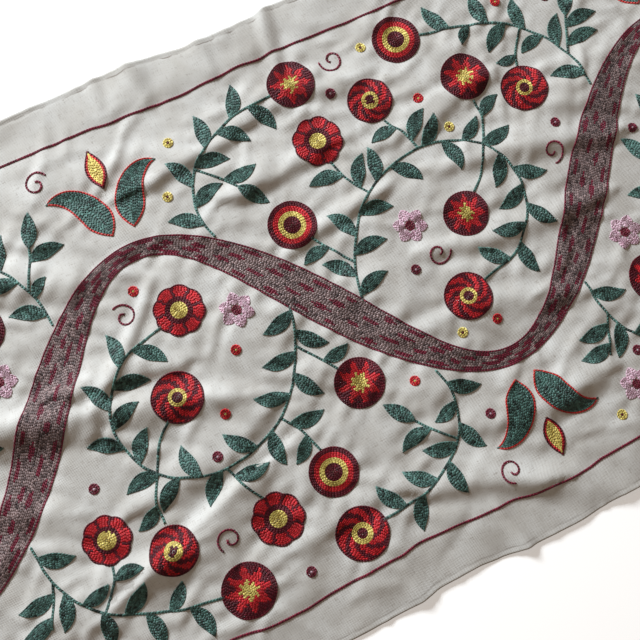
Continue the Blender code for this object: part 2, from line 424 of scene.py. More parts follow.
@dataclass
class Stitches:
    """Many stitches, as one array for each thing that is known of them."""

    place: np.ndarray
    heading: np.ndarray
    length: np.ndarray
    width: np.ndarray
    yarn: np.ndarray

    UNEVEN = 0.16
    ROW_SLIP = 0.3
    SHORTEST_ROW = 0.35 * STITCH_LENGTH
    PARTS = ("place", "heading", "length", "width", "yarn")

    @classmethod
    def of_rows(cls, rows: Sequence[StitchRow]) -> "Stitches":
        """Works rows of chain stitch, each divided into whole stitches that are as uneven as hand work.

        Args:
            rows: the rows, in the order in which they are worked.

        Returns:
            Their stitches, in the same order.
        """
        draws = np.random.default_rng(SEED + len(rows))
        places, headings, lengths, widths, yarns = [], [], [], [], []
        for row in rows:
            steps = np.hypot(*np.diff(row.points, axis=0).T)
            travelled = np.concatenate([[0.0], np.cumsum(steps)])
            total = travelled[-1]
            if total < cls.SHORTEST_ROW:
                continue
            count = max(1, round(total / STITCH_LENGTH))
            stops = np.linspace(0.0, total, count + 1)
            uneven = draws.uniform(-cls.UNEVEN, cls.UNEVEN, count - 1)
            stops[1:-1] += (uneven + draws.uniform(-cls.ROW_SLIP, cls.ROW_SLIP)) * (total / count)
            ends = np.column_stack([np.interp(stops, travelled, row.points[:, i]) for i in (0, 1)])
            span = np.diff(ends, axis=0)
            places.append((ends[1:] + ends[:-1]) / 2.0)
            headings.append(np.arctan2(span[:, 1], span[:, 0]))
            lengths.append(np.hypot(span[:, 0], span[:, 1]))
            by_point = np.broadcast_to(row.width, len(row.points))
            widths.append(np.interp((stops[1:] + stops[:-1]) / 2.0, travelled, by_point))
            yarns.append(np.full(count, row.yarn.value))
        if not places:
            return cls(np.zeros((0, 2)), *(np.zeros(0) for _ in cls.PARTS[1:]))
        return cls(*(np.concatenate(part) for part in (places, headings, lengths, widths, yarns)))

    @classmethod
    def joined(cls, batches: Sequence["Stitches"]) -> "Stitches":
        """Puts batches of stitches together."""
        return cls(*(np.concatenate([getattr(batch, part) for batch in batches]) for part in cls.PARTS))

    def kept(self, mask: np.ndarray) -> "Stitches":
        """Gives the stitches that a mask keeps."""
        return Stitches(*(getattr(self, part)[mask] for part in self.PARTS))

    def dye(self, mask: np.ndarray, yarn: Yarn) -> None:
        """Works the masked stitches in another yarn."""
        self.yarn[mask] = yarn.value


def curve_through(points: Sequence[tuple[float, float]], step: float) -> Points:
    """Draws a smooth curve through points.

    Args:
        points: the points that the curve passes through.
        step: about how far apart the curve's own points are.

    Returns:
        The curve's points, in order.
    """
    marks = np.array(points, dtype=float)
    marks = np.vstack([2.0 * marks[0] - marks[1], marks, 2.0 * marks[-1] - marks[-2]])
    drawn = []
    for p0, p1, p2, p3 in zip(marks, marks[1:], marks[2:], marks[3:]):
        count = max(2, int(np.hypot(*(p2 - p1)) / step))
        t = np.linspace(0.0, 1.0, count, endpoint=False)[:, None]
        drawn.append(
            0.5 * (2.0 * p1 + (p2 - p0) * t + (2.0 * p0 - 5.0 * p1 + 4.0 * p2 - p3) * t**2
                   + (3.0 * p1 - p0 - 3.0 * p2 + p3) * t**3)
        )
    return np.vstack([*drawn, marks[-2][None, :]])


def left_of(path: Points) -> Points:
    """Gives the unit direction to the left of a path at each of its points.

    Args:
        path: the path's points, in order.

    Returns:
        One direction for each point.
    """
    forward = np.gradient(path, axis=0)
    forward /= np.maximum(np.hypot(*forward.T), 1e-9)[:, None]
    return np.column_stack([-forward[:, 1], forward[:, 0]])


def runs(mask: np.ndarray) -> list[slice]:
    """Gives each unbroken run of True in a mask, with one place more at each end so that rows meet."""
    edges = np.flatnonzero(np.diff(np.concatenate([[0], mask.astype(int), [0]])))
    return [slice(max(a - 1, 0), b + 1) for a, b in zip(edges[::2], edges[1::2])]


@dataclass(frozen=True)
class SpineShape:
    """A shape with a middle line and a half width along it, such as a leaf, a petal or a vine."""

    spine: Points
    half_width: np.ndarray
    yarns: tuple[Yarn, ...]

    LEAST_SPARE = 0.12 * ROW_PITCH
    TWO_ROWS_FROM = 0.75 * ROW_PITCH

    def rows(self) -> list[StitchRow]:
        """Fills the shape with rows that follow its outline inwards, the outermost in the first yarn.

        Returns:
            The rows, from the outline to the middle.
        """
        side = left_of(self.spine)
        made = []
        for index in range(int(self.half_width.max() / ROW_PITCH)):
            offset = self.half_width - (index + 0.5) * ROW_PITCH
            for run in runs(offset > 0.5 * ROW_PITCH):
                for hand in (1.0, -1.0):
                    line = self.spine[run] + hand * offset[run, None] * side[run]
                    made.append(StitchRow(line, self.yarn_at(index)))
        return made + self.middle_rows(side)

    def middle_rows(self, side: np.ndarray) -> list[StitchRow]:
        """Fills what the outer rows leave free along the middle, with one row or with two.

        Args:
            side: the direction to the left of the middle line, at each of its points.

        Returns:
            The rows.
        """
        whole = np.floor(self.half_width / ROW_PITCH)
        spare = self.half_width - whole * ROW_PITCH
        made = []
        for run in runs((spare > self.LEAST_SPARE) & (spare <= self.TWO_ROWS_FROM)):
            yarn = self.yarn_at(int(whole[run].max()))
            made.append(StitchRow(self.spine[run], yarn, 2.0 * np.minimum(spare[run], 0.8 * ROW_PITCH)))
        for run in runs(spare > self.TWO_ROWS_FROM):
            yarn = self.yarn_at(int(whole[run].max()))
            for hand in (0.5, -0.5):
                line = self.spine[run] + hand * spare[run, None] * side[run]
                made.append(StitchRow(line, yarn, np.maximum(spare[run], 0.7 * ROW_PITCH)))
        return made

    def yarn_at(self, index: int) -> Yarn:
        """Gives the yarn of a row by its number from the outline."""
        return self.yarns[min(index, len(self.yarns) - 1)]


def leaf_width(half: float, count: int, fullest: float = 0.46, tip: float = 0.85) -> np.ndarray:
    """Gives a leaf's half width from its base to its pointed tip.

    Args:
        half: the half width at its fullest.
        count: how many points the middle line has.
        fullest: how far along the leaf is fullest, as a share of its length.
        tip: how it narrows at its ends; a lower value gives blunter ends.

    Returns:
        The half width at each point.
    """
    t = np.linspace(0.0, 1.0, count)
    bent = np.where(t < fullest, 0.5 * t / fullest, 0.5 + 0.5 * (t - fullest) / (1.0 - fullest))
    return half * np.maximum(np.sin(np.pi * bent), 0.0) ** tip


@dataclass(frozen=True)
class Leaf:
    """A pointed leaf that grows from a stem."""

    base: tuple[float, float]
    turn: float
    length: float
    width: float
    bow: float
    yarns: tuple[Yarn, ...] = (Yarn.GREEN,)

    POINTS = 22

    def spine(self) -> Points:
        """Gives the leaf's middle line.

        Returns:
            Its points, from the stem to the tip.
        """
        t = np.linspace(0.0, 1.0, self.POINTS)
        ahead = np.array([math.cos(self.turn), math.sin(self.turn)])
        aside = np.array([-ahead[1], ahead[0]])
        bend = self.bow * self.length * 4.0 * t * (1.0 - t)
        return np.array(self.base) + self.length * t[:, None] * ahead + bend[:, None] * aside

    def half_width(self) -> np.ndarray:
        """Gives the leaf's half width along its middle line."""
        return leaf_width(self.width / 2.0, self.POINTS)

    def stitches(self) -> Stitches:
        """Works the leaf."""
        return Stitches.of_rows(SpineShape(self.spine(), self.half_width(), self.yarns).rows())


class RosetteKind(Enum):
    """How a round flower is coloured."""

    RINGS = "rings"
    PETALS = "petals"
    PINWHEEL = "pinwheel"
    STAR = "star"


@dataclass(frozen=True)
class Rosette:
    """A round flower, worked in rings from its rim to its heart."""

    centre: tuple[float, float]
    radius: float
    kind: RosetteKind
    turn: float

    PETAL_COUNT = 8
    BLADE_COUNT = 7
    STAR_POINTS = 8
    PETAL_DEPTH = 0.10
    BLADE_TWIST = 1.9
    OUTLINE = 1.1 * ROW_PITCH

    def rim(self, angle: np.ndarray) -> np.ndarray:
        """Gives the rim's radius around the flower, as a share of the flower's own.

        Args:
            angle: the directions from the flower's centre.

        Returns:
            The share in each direction.
        """
        if self.kind is RosetteKind.PETALS:
            petals = np.abs(np.cos(self.PETAL_COUNT / 2.0 * (angle - self.turn))) ** 0.8
            return 1.0 - self.PETAL_DEPTH + self.PETAL_DEPTH * petals
        return np.ones_like(angle)

    def rows(self) -> list[StitchRow]:
        """Gives the rings, which keep the rim's shape outside and turn round towards the heart.

        Returns:
            One row for each ring, from the rim inwards.
        """
        made = []
        count_rings = round(self.radius / ROW_PITCH)
        pitch = self.radius / count_rings
        for index in range(count_rings):
            ring = self.radius - (index + 0.5) * pitch
            count = max(8, int(2.0 * math.pi * ring / 1.2))
            angle = np.linspace(0.0, 2.0 * math.pi, count + 1)
            shaped = ring * (1.0 + (self.rim(angle) - 1.0) * (ring / self.radius) ** 1.5)
            line = np.column_stack([shaped * np.cos(angle), shaped * np.sin(angle)])
            made.append(StitchRow(line + np.array(self.centre), Yarn.RED, pitch))
        return made

    def stitches(self) -> Stitches:
        """Works the flower and gives each of its fields its yarn.

        Returns:
            Its stitches.
        """
        batch = Stitches.of_rows(self.rows())
        out = batch.place - np.array(self.centre)
        reach = np.hypot(out[:, 0], out[:, 1]) / self.radius
        angle = np.arctan2(out[:, 1], out[:, 0]) - self.turn
        outline = self.OUTLINE / self.radius
        # Each number below is a share of the flower's radius, or of one petal, blade or point of the star.
        if self.kind is RosetteKind.RINGS:
            batch.dye(reach < 0.55, Yarn.YELLOW)
            batch.dye(reach < 0.38, Yarn.MAROON)
            batch.dye(reach > 0.78, Yarn.MAROON)
        elif self.kind is RosetteKind.PETALS:
            batch.dye(np.abs(np.cos(self.PETAL_COUNT / 2.0 * angle)) < 0.30, Yarn.MAROON)
            batch.dye(reach < 0.50, Yarn.MAROON)
            batch.dye(reach < 0.34, Yarn.YELLOW)
            batch.dye(reach > self.rim(angle + self.turn) - outline, Yarn.MAROON)
        elif self.kind is RosetteKind.PINWHEEL:
            blade = (angle + self.BLADE_TWIST * (1.0 - reach)) * self.BLADE_COUNT / (2.0 * math.pi)
            batch.dye((blade % 1.0) < 0.46, Yarn.MAROON)
            batch.dye(reach < 0.38, Yarn.YELLOW)
            batch.dye(reach < 0.18, Yarn.MAROON)
            batch.dye(reach > 1.0 - outline, Yarn.MAROON)
        else:
            points = np.abs(((angle * self.STAR_POINTS / (2.0 * math.pi)) % 1.0) * 2.0 - 1.0)
            batch.dye(reach > 0.42 + 0.46 * points, Yarn.MAROON)
            batch.dye(reach < 0.20 + 0.22 * points, Yarn.YELLOW)
            batch.dye(reach > 1.0 - outline, Yarn.MAROON)
        return batch


@dataclass(frozen=True)
class Vine:
    """The broad taupe vine that winds along the cloth, outlined and flecked in crimson."""

    swing: float = 105.0
    period: float = 500.0
    crossing: float = 10.0
    thin: float = 8.0
    thick: float = 18.5
    dash_length: float = 19.0
    dash_width: float = 3.6
    dash_gap: float = 11.0
    dash_slip: float = 0.14
    shortest_dash: float = 0.55
    lanes: int = 4
    lane_shifts: tuple[float, ...] = (0.0, 0.55, 0.2, 0.75)

    MOST_DASHES = 200

    def path(self) -> Points:
        """Gives the vine's middle line."""
        x = np.linspace(-HALF_LENGTH, HALF_LENGTH, 900)
        return np.column_stack([x, self.height(x)])

    def height(self, x: np.ndarray) -> np.ndarray:
        """Gives where the vine lies across the cloth."""
        phase = 2.0 * math.pi * (x - self.crossing) / self.period
        return -self.swing * np.sin(phase)

    def away(self, points: Points) -> np.ndarray:
        """Gives how far points lie from the vine's middle line, square to it.

        Args:
            points: the points, in millimetres.

        Returns:
            The distance of each.
        """
        phase = 2.0 * math.pi * (points[:, 0] - self.crossing) / self.period
        slope = -self.swing * 2.0 * math.pi / self.period * np.cos(phase)
        return np.abs(points[:, 1] - self.height(points[:, 0])) / np.sqrt(1.0 + slope**2)

    def half_width(self, x: np.ndarray) -> np.ndarray:
        """Gives the vine's half width, thickest where it crosses the middle."""
        phase = 2.0 * math.pi * (x - self.crossing) / self.period
        return self.thin + (self.thick - self.thin) * (0.5 + 0.5 * np.cos(2.0 * phase)) ** 1.2

    def stitches(self) -> Stitches:
        """Works the vine: crimson outlines, taupe rows and staggered crimson dashes.

        Returns:
            Its stitches.
        """
        path = self.path()
        half = self.half_width(path[:, 0])
        batch = Stitches.of_rows(SpineShape(path, half, (Yarn.CRIMSON, Yarn.TAUPE)).rows())
        steps = np.hypot(*np.diff(path, axis=0).T)
        travelled = np.concatenate([[0.0], np.cumsum(steps)])
        near = np.searchsorted(path[:, 0], batch.place[:, 0]).clip(0, len(path) - 1)
        for _ in range(3):
            gap = batch.place - path[near]
            forward = np.gradient(path, axis=0)[near]
            shift = np.einsum("ij,ij->i", gap, forward) / np.einsum("ij,ij->i", forward, forward)
            near = np.clip(near + np.round(shift).astype(int), 0, len(path) - 1)
        gap = batch.place - path[near]
        across = np.einsum("ij,ij->i", gap, left_of(path)[near])
        lane_width = 2.0 * (half[near] - ROW_PITCH) / self.lanes
        lane = np.floor((across + half[near] - ROW_PITCH) / lane_width)
        middle = (lane + 0.5) * lane_width - half[near] + ROW_PITCH
        pitch = self.dash_length + self.dash_gap
        along = travelled[near] + pitch * np.array(self.lane_shifts)[lane.astype(int) % self.lanes]
        dash = np.floor(along / pitch)
        table = (self.lanes + 2, self.MOST_DASHES)
        slip = np.random.default_rng(SEED).uniform(-self.dash_slip, self.dash_slip, table)
        size = np.random.default_rng(SEED + 1).uniform(self.shortest_dash, 1.0, table)
        key = (lane.astype(int) % table[0], dash.astype(int) % table[1])
        from_middle = (along / pitch - dash - 0.5 - slip[key]) * pitch
        taper = 1.0 - (from_middle / (self.dash_length / 2.0 * size[key])) ** 2
        inside = (taper > 0.0) & (np.abs(across - middle) < self.dash_width / 2.0 * np.sqrt(taper.clip(0.0)))
        batch.dye(inside & (batch.yarn == Yarn.TAUPE.value), Yarn.CRIMSON)
        return batch


@dataclass(frozen=True)
class Pepper:
    """A hooked pepper shape, green with a scarlet outline."""

    base: tuple[float, float]
    turn: float
    hook: float
    length: float = 66.0
    half: float = 12.5

    POINTS = 44

    def spine(self) -> Points:
        """Gives the middle line, which curls towards the tip.

        Returns:
            Its points, from the base to the tip.
        """
        t = np.linspace(0.0, 1.0, self.POINTS)
        angle = self.turn + self.hook * t**2.2
        step = self.length / (len(t) - 1)
        moves = step * np.column_stack([np.cos(angle), np.sin(angle)])
        return np.array(self.base) + np.vstack([[0.0, 0.0], np.cumsum(moves[:-1], axis=0)])

    def half_width(self) -> np.ndarray:
        """Gives the half width, which is fullest near the base."""
        return leaf_width(self.half, self.POINTS, fullest=0.30, tip=0.8)

    def stitches(self) -> Stitches:
        """Works the pepper."""
        shape = SpineShape(self.spine(), self.half_width(), (Yarn.SCARLET, Yarn.GREEN))
        return Stitches.of_rows(shape.rows())


@dataclass(frozen=True)
class PinkFlower:
    """A small flower with pink petals and a crimson heart."""

    centre: tuple[float, float]
    turn: float
    radius: float = 15.0
    petals: int = 6
    heart: float = 4.4
    heart_rounds: tuple[float, ...] = (3.7, 2.2, 0.8)
    plumpness: float = 0.72

    def stitches(self) -> Stitches:
        """Works the petals and the heart.

        Returns:
            Their stitches.
        """
        batches = []
        for index in range(self.petals):
            angle = self.turn + 2.0 * math.pi * index / self.petals
            base = np.array(self.centre) + self.heart * np.array([math.cos(angle), math.sin(angle)])
            wide = 2.0 * self.radius * math.sin(math.pi / self.petals) * self.plumpness
            petal = Leaf(tuple(base), angle, self.radius - self.heart, wide, 0.0, (Yarn.PINK,))
            batches.append(petal.stitches())
        rings = [StitchRow(ring_of(self.centre, radius), Yarn.CRIMSON) for radius in self.heart_rounds]
        return Stitches.joined([*batches, Stitches.of_rows(rings)])


@dataclass(frozen=True)
class Berry:
    """A berry of two rounds, with a heart in another yarn."""

    centre: tuple[float, float]
    outer: Yarn
    heart: Yarn

    def stitches(self) -> Stitches:
        """Works the berry."""
        rounds = ((3.8, self.outer), (2.3, self.outer), (0.8, self.heart))
        return Stitches.of_rows([StitchRow(ring_of(self.centre, size), yarn) for size, yarn in rounds])


@dataclass(frozen=True)
class Curl:
    """A crimson tendril that rolls up."""

    centre: tuple[float, float]
    turn: float
    hand: float
    radius: float = 11.0
    rolled: float = 7.4
    closing: float = 0.80
    yarn_width: float = 1.9

    def stitches(self) -> Stitches:
        """Works the tendril.

        Returns:
            Its stitches.
        """
        t = np.linspace(0.0, 1.0, 60)
        angle = self.turn + self.hand * self.rolled * t
        reach = self.radius * (1.0 - self.closing * t)
        line = np.array(self.centre) + reach[:, None] * np.column_stack([np.cos(angle), np.sin(angle)])
        return Stitches.of_rows([StitchRow(line, Yarn.CRIMSON, self.yarn_width)])


def ring_of(centre: tuple[float, float], radius: float) -> Points:
    """Draws one closed round."""
    angle = np.linspace(0.0, 2.0 * math.pi, 25)
    return np.array(centre) + radius * np.column_stack([np.cos(angle), np.sin(angle)])


class Filler(Enum):
    """The small motifs for gaps: the room that each needs, the most of them and how far apart they keep."""

    FLOWER = (16.5, 8, 90.0)
    CURL = (12.0, 9, 120.0)
    BERRY = (6.5, 40, 30.0)

    def stitches(self, centre: tuple[float, float], turn: float, number: int) -> Stitches:
        """Works one of these motifs.

        Args:
            centre: its middle.
            turn: which way round it lies.
            number: its number among its kind, from 1.

        Returns:
            Its stitches.
        """
        if self is Filler.FLOWER:
            return PinkFlower(centre, turn).stitches()
        if self is Filler.CURL:
            return Curl(centre, turn, 1.0 if number % 2 else -1.0).stitches()
        yarns = ((Yarn.RED, Yarn.YELLOW), (Yarn.CRIMSON, Yarn.PINK), (Yarn.YELLOW, Yarn.MAROON))
        return Berry(centre, *yarns[number % len(yarns)]).stitches()


@dataclass(frozen=True)
class Bay:
    """The room between two bends of the vine, filled with a spray of stems, flowers and leaves.

    Stems and flowers are drawn once, for a bay that opens upwards, from the bay's middle. A bay that
    opens downwards is the same spray turned half way round.
    """

    middle: tuple[float, float]
    opens_up: bool
    seed: int

    STEMS = (
        ((-100, -116), (-88, -64), (-52, -16), (4, 2), (56, -18), (72, -66), (44, -110), (4, -124)),
        ((56, -18), (44, -40), (30, -52)),
        ((-88, -64), (-102, -44), (-112, -30)),
        ((-52, -16), (-64, 4), (-70, 22)),
        ((4, 2), (-4, 22), (-12, 36)),
        ((56, -18), (66, 2), (66, 20)),
        ((168, -24), (162, 24), (134, 62), (88, 84), (48, 92)),
        ((162, 24), (170, 42), (176, 56)),
        ((134, 62), (120, 44), (116, 32)),
        ((-165, -38), (-188, 20), (-176, 62), (-136, 88), (-92, 94)),
        ((-176, 62), (-160, 46), (-150, 34)),
    )
    FLOWERS = (
        (-14, -130), (16, -66), (-122, -14), (-72, 42), (-16, 56), (68, 42), (28, 96), (182, 78),
        (112, 12), (-72, 96), (-142, 16),
    )

    def placed(self, point: Sequence[float]) -> tuple[float, float]:
        """Turns a point of the spray into a place on the cloth."""
        sign = 1.0 if self.opens_up else -1.0
        return self.middle[0] + sign * point[0], self.middle[1] + sign * point[1]


@dataclass
class Room:
    """Keeps note of what is already drawn on the cloth, so that motifs don't run into each other."""

    spots: list[tuple[float, float, float]] = field(default_factory=list)

    def note(self, points: Points, radius: float | np.ndarray) -> None:
        """Notes a round spot at each point."""
        for point, size in zip(np.atleast_2d(points), np.broadcast_to(radius, len(np.atleast_2d(points)))):
            self.spots.append((float(point[0]), float(point[1]), float(size)))

    def gap(self, points: Points) -> np.ndarray:
        """Gives how far each point is from the nearest noted spot.

        Args:
            points: the points to look from.

        Returns:
            The distance of each, without end where nothing is noted yet.
        """
        if not self.spots:
            return np.full(len(points), np.inf)
        spots = np.array(self.spots)
        away = np.hypot(points[:, None, 0] - spots[None, :, 0], points[:, None, 1] - spots[None, :, 1])
        return (away - spots[None, :, 2]).min(axis=1)


@dataclass
class SuzaniDesign:
    """The whole embroidered design: two border lines, a winding vine and what grows in its bays."""

    end_margin: float = 15.0
    flower_radius: tuple[float, float] = (19.5, 22.5)
    leaf_step: float = 17.0
    leaf_sizes: tuple[tuple[float, float], ...] = ((30.0, 13.0), (25.0, 11.5), (19.0, 9.5))
    leaf_leans: tuple[float, ...] = (0.85, 1.1, 0.65)
    leaf_bow: float = 0.10
    line_waver: float = 0.9
    stem_step: float = 1.5
    stem_waver: float = 0.7
    stem_gap: float = 0.4
    pepper_apart: float = 9.5
    pepper_clear: float = 19.0
    pepper_lean: float = 0.22
    pepper_hook: float = 1.7
    bud_clear: float = 58.0
    bud_size: tuple[float, float] = (34.0, 17.0)
    filler_reach: tuple[float, float] = (470.0, 190.0)
    filler_gap: float = 2.5
    filler_tries: int = 1500
    hem_line: float = 490.3
    hem_reach: float = 244.0
    hem_pitch: float = 4.6
    hem_stitch: tuple[float, float] = (2.6, 0.55)
    vine: Vine = field(default_factory=Vine)
    batches: list[Stitches] = field(default_factory=list)
    room: Room = field(default_factory=Room)
    stems: Room = field(default_factory=Room)

    def bays(self) -> list[Bay]:
        """Gives the bays above and below the vine, along the length.

        Returns:
            The bays, from the left end to the right one.
        """
        quarter, half = self.vine.period / 4.0, self.vine.period / 2.0
        first = self.vine.crossing - self.vine.period + quarter
        made = []
        for index in range(-1, 5):
            opens_up = index % 2 == 0
            middle = first + half * index
            made.append(Bay((middle, 85.0 if opens_up else -85.0), opens_up, SEED + index))
        return made

    def work_lines(self) -> None:
        """Works the two crimson border lines."""
        x = np.linspace(-HALF_LENGTH, HALF_LENGTH, 700)
        for hand, table in ((1.0, TOP_LINE), (-1.0, LOW_LINE)):
            waver = self.line_waver * SoftNoise(SEED + 11, 17.0).at(x, np.full(len(x), hand * 90.0))
            line = np.column_stack([x, hand * along_rows(table, x) + waver])
            self.batches.append(Stitches.of_rows([StitchRow(line, Yarn.CRIMSON, LINE_WIDTH)]))
            self.room.note(line[::4], 5.0)

    def work_vine(self) -> None:
        """Works the vine."""
        self.batches.append(self.vine.stitches())
        path = self.vine.path()[::5]
        self.room.note(path, self.vine.half_width(path[:, 0]) + 1.0)

    def work_flowers(self, bay: Bay) -> None:
        """Works a bay's round flowers.

        Args:
            bay: the bay to fill.
        """
        draws = np.random.default_rng(bay.seed)
        kinds = list(RosetteKind)
        for index, point in enumerate(bay.FLOWERS):
            kind = kinds[(index + bay.seed) % len(kinds)]
            radius, turn = draws.uniform(*self.flower_radius), draws.uniform(0.0, math.pi)
            centre = bay.placed(point)
            clear = self.room.gap(np.array([centre]))[0] > radius + 1.5
            if clear and abs(centre[0]) < HALF_LENGTH - self.end_margin - radius:
                self.batches.append(Rosette(centre, radius, kind, turn).stitches())
                self.room.note(np.array([centre]), radius + 1.0)

    def work_stems(self, bay: Bay) -> list[Points]:
        """Works a bay's stems and gives their lines.

        Args:
            bay: the bay to fill.

        Returns:
            The stems' lines.
        """
        lines = []
        for stem in bay.STEMS:
            line = curve_through([bay.placed(point) for point in stem], self.stem_step)
            x, y = line.T
            line = line + self.stem_waver * np.column_stack([
                SoftNoise(SEED + 12, 14.0).at(x, y), SoftNoise(SEED + 13, 14.0).at(x, y),
            ])
            lines.append(line)
            clear = self.vine.away(line) > self.vine.half_width(line[:, 0]) + self.stem_gap
            rows = [StitchRow(line[run], Yarn.GREEN, STEM_WIDTH) for run in runs(clear)]
            self.batches.append(Stitches.of_rows(rows))
        return lines

    def work_leaves(self, lines: Sequence[Points]) -> None:
        """Works leaves along the stems and at their tips, wherever there is room for one.

        Args:
            lines: the stems' lines.
        """
        hand = 1.0
        for line in lines:
            forward = np.gradient(line, axis=0)
            travelled = np.concatenate([[0.0], np.cumsum(np.hypot(*np.diff(line, axis=0).T))])
            for stop in np.arange(7.0, travelled[-1] - 4.0, self.leaf_step):
                index = int(np.searchsorted(travelled, stop))
                along = math.atan2(forward[index, 1], forward[index, 0])
                for side in (hand, -hand):
                    if self.grow_leaf(line[index], along, side):
                        hand = -side
            self.grow_leaf(line[-1], math.atan2(forward[-1, 1], forward[-1, 0]), 0.0)

    def grow_leaf(self, base: np.ndarray, along: float, side: float) -> bool:
        """Works one leaf if it fits.

        Args:
            base: the point of the stem that the leaf grows from.
            along: the stem's direction there.
            side: 1 for a leaf on the left, -1 for one on the right and 0 for one at the stem's tip.

        Returns:
            Whether there was room for it.
        """
        for length, width in self.leaf_sizes:
            for lean in self.leaf_leans:
                leaf = Leaf(tuple(base), along + side * lean, length, width, -self.leaf_bow * side)
                spine, half = leaf.spine(), leaf.half_width()
                off_motifs = (self.room.gap(spine[5:]) > half[5:] + 1.4).all()
                if off_motifs and (self.stems.gap(spine[9:]) > half[9:] + 0.8).all():
                    self.batches.append(leaf.stitches())
                    self.room.note(spine[::2], half[::2])
                    return True
        return False

    def work_peppers(self) -> None:
        """Works a pair of peppers over each bend of the vine, towards the border line."""
        quarter = self.vine.period / 4.0
        for index in range(-2, 6):
            bend = self.vine.crossing - quarter + index * self.vine.period / 2.0
            up = 1.0 if index % 2 == 0 else -1.0
            for hand in (1.0, -1.0):
                base = (bend + self.pepper_apart * hand, up * (self.vine.swing + self.pepper_clear))
                turn = up * (math.pi / 2.0 - self.pepper_lean * hand)
                pepper = Pepper(base, turn, -self.pepper_hook * up * hand)
                spine, half = pepper.spine(), pepper.half_width()
                self.batches.append(pepper.stitches())
                self.room.note(spine[::3], half[::3] + 1.0)
            foot = (bend, up * (self.vine.swing + self.bud_clear))
            yarns = (Yarn.MAROON, Yarn.RED, Yarn.YELLOW)
            bud = Leaf(foot, up * math.pi / 2.0, *self.bud_size, 0.0, yarns)
            self.batches.append(bud.stitches())
            self.room.note(bud.spine()[::3], bud.half_width()[::3] + 1.0)

    def work_fillers(self) -> None:
        """Works small flowers, tendrils and berries in the gaps that are left."""
        draws = np.random.default_rng(SEED + 9)
        reach = np.array(self.filler_reach)
        for filler in Filler:
            radius, most, apart = filler.value
            worked: list[np.ndarray] = []
            for point in draws.uniform(-reach, reach, (self.filler_tries, 2)):
                turn = draws.uniform(0.0, 2.0 * math.pi)
                too_near = any(np.hypot(*(point - other)) < apart for other in worked)
                stem_gap = self.stems.gap(point[None, :])[0]
                if len(worked) == most or too_near or stem_gap < radius + self.filler_gap:
                    continue
                if self.room.gap(point[None, :])[0] < radius + self.filler_gap:
                    continue
                worked.append(point)
                self.room.note(point[None, :], radius)
                centre = (float(point[0]), float(point[1]))
                self.batches.append(filler.stitches(centre, turn, len(worked)))

    def work_hems(self) -> None:
        """Works the running stitches that hold the hems, in yarn like the cloth."""
        y = np.arange(-self.hem_reach, self.hem_reach, self.hem_pitch)
        for hand in (-1.0, 1.0):
            place = np.column_stack([np.full(len(y), hand * self.hem_line), y])
            alike = (math.pi / 2.0, *self.hem_stitch, float(Yarn.CREAM.value))
            self.batches.append(Stitches(place, *(np.full(len(y), value) for value in alike)))

    def work_all(self) -> Stitches:
        """Works the whole design.

        Returns:
            Every stitch of it, clear of the two hems.
        """
        self.work_lines()
        self.work_vine()
        self.work_peppers()
        bays = self.bays()
        for bay in bays:
            self.work_flowers(bay)
        lines = [line for bay in bays for line in self.work_stems(bay)]
        for line in lines:
            self.stems.note(line[::2], 0.9)
        self.work_leaves(lines)
        self.work_fillers()
        whole = Stitches.joined(self.batches)
        whole = whole.kept(np.abs(whole.place[:, 0]) < HALF_LENGTH - self.end_margin)
        self.batches = [whole]
        self.work_hems()
        return Stitches.joined(self.batches)


# The cloth itself


@dataclass(frozen=True)
class Creases:
    """The many small creases of cotton that was folded away and never pressed. In millimetres."""

    count: int = 420
    lengths: tuple[float, float] = (14.0, 62.0)
    widths: tuple[float, float] = (1.9, 5.5)
    rises: tuple[float, float] = (0.12, 0.62)
    # Most of them run one way, as the cloth was folded: their turn in radians, and how much it varies.
    mean_turn: float = 0.35
    turn_spread: float = 0.9
    most_bow: float = 0.12
    field_reach: tuple[float, float] = (HALF_LENGTH, 250.0)

    def height(self, x: np.ndarray, y: np.ndarray) -> np.ndarray:
        """Gives the height that the creases add at each point of a grid.

        Args:
            x: the points' places along the cloth, in millimetres.
            y: their places across it.

        Returns:
            The height, in millimetres.
        """
        draws = np.random.default_rng(SEED + 7)
        total = np.zeros_like(x)
        far = np.array(self.field_reach)
        for _ in range(self.count):
            middle = draws.uniform(-far, far)
            length = draws.uniform(*self.lengths)
            turn = draws.normal(self.mean_turn, self.turn_spread)
            reach = 0.5 * length * np.array([math.cos(turn), math.sin(turn)])
            rise = draws.uniform(*self.rises) * draws.choice((-0.6, 1.0))
            width, other = draws.uniform(*self.widths, 2)
            bow = draws.uniform(-self.most_bow, self.most_bow) * length
            crease = Fold("crease", tuple(middle - reach), tuple(middle + reach), bow, rise, 0.6 * rise,
                          width, other)
            margin = 0.5 * length + 3.0 * max(width, other) + abs(bow)
            columns = np.flatnonzero(np.abs(x - middle[0]).min(axis=0) < margin)
            rows = np.flatnonzero(np.abs(y - middle[1]).min(axis=1) < margin)
            if len(rows) and len(columns):
                part = np.s_[rows[0] : rows[-1] + 1, columns[0] : columns[-1] + 1]
                total[part] += crease.height(x[part], y[part])
        return total


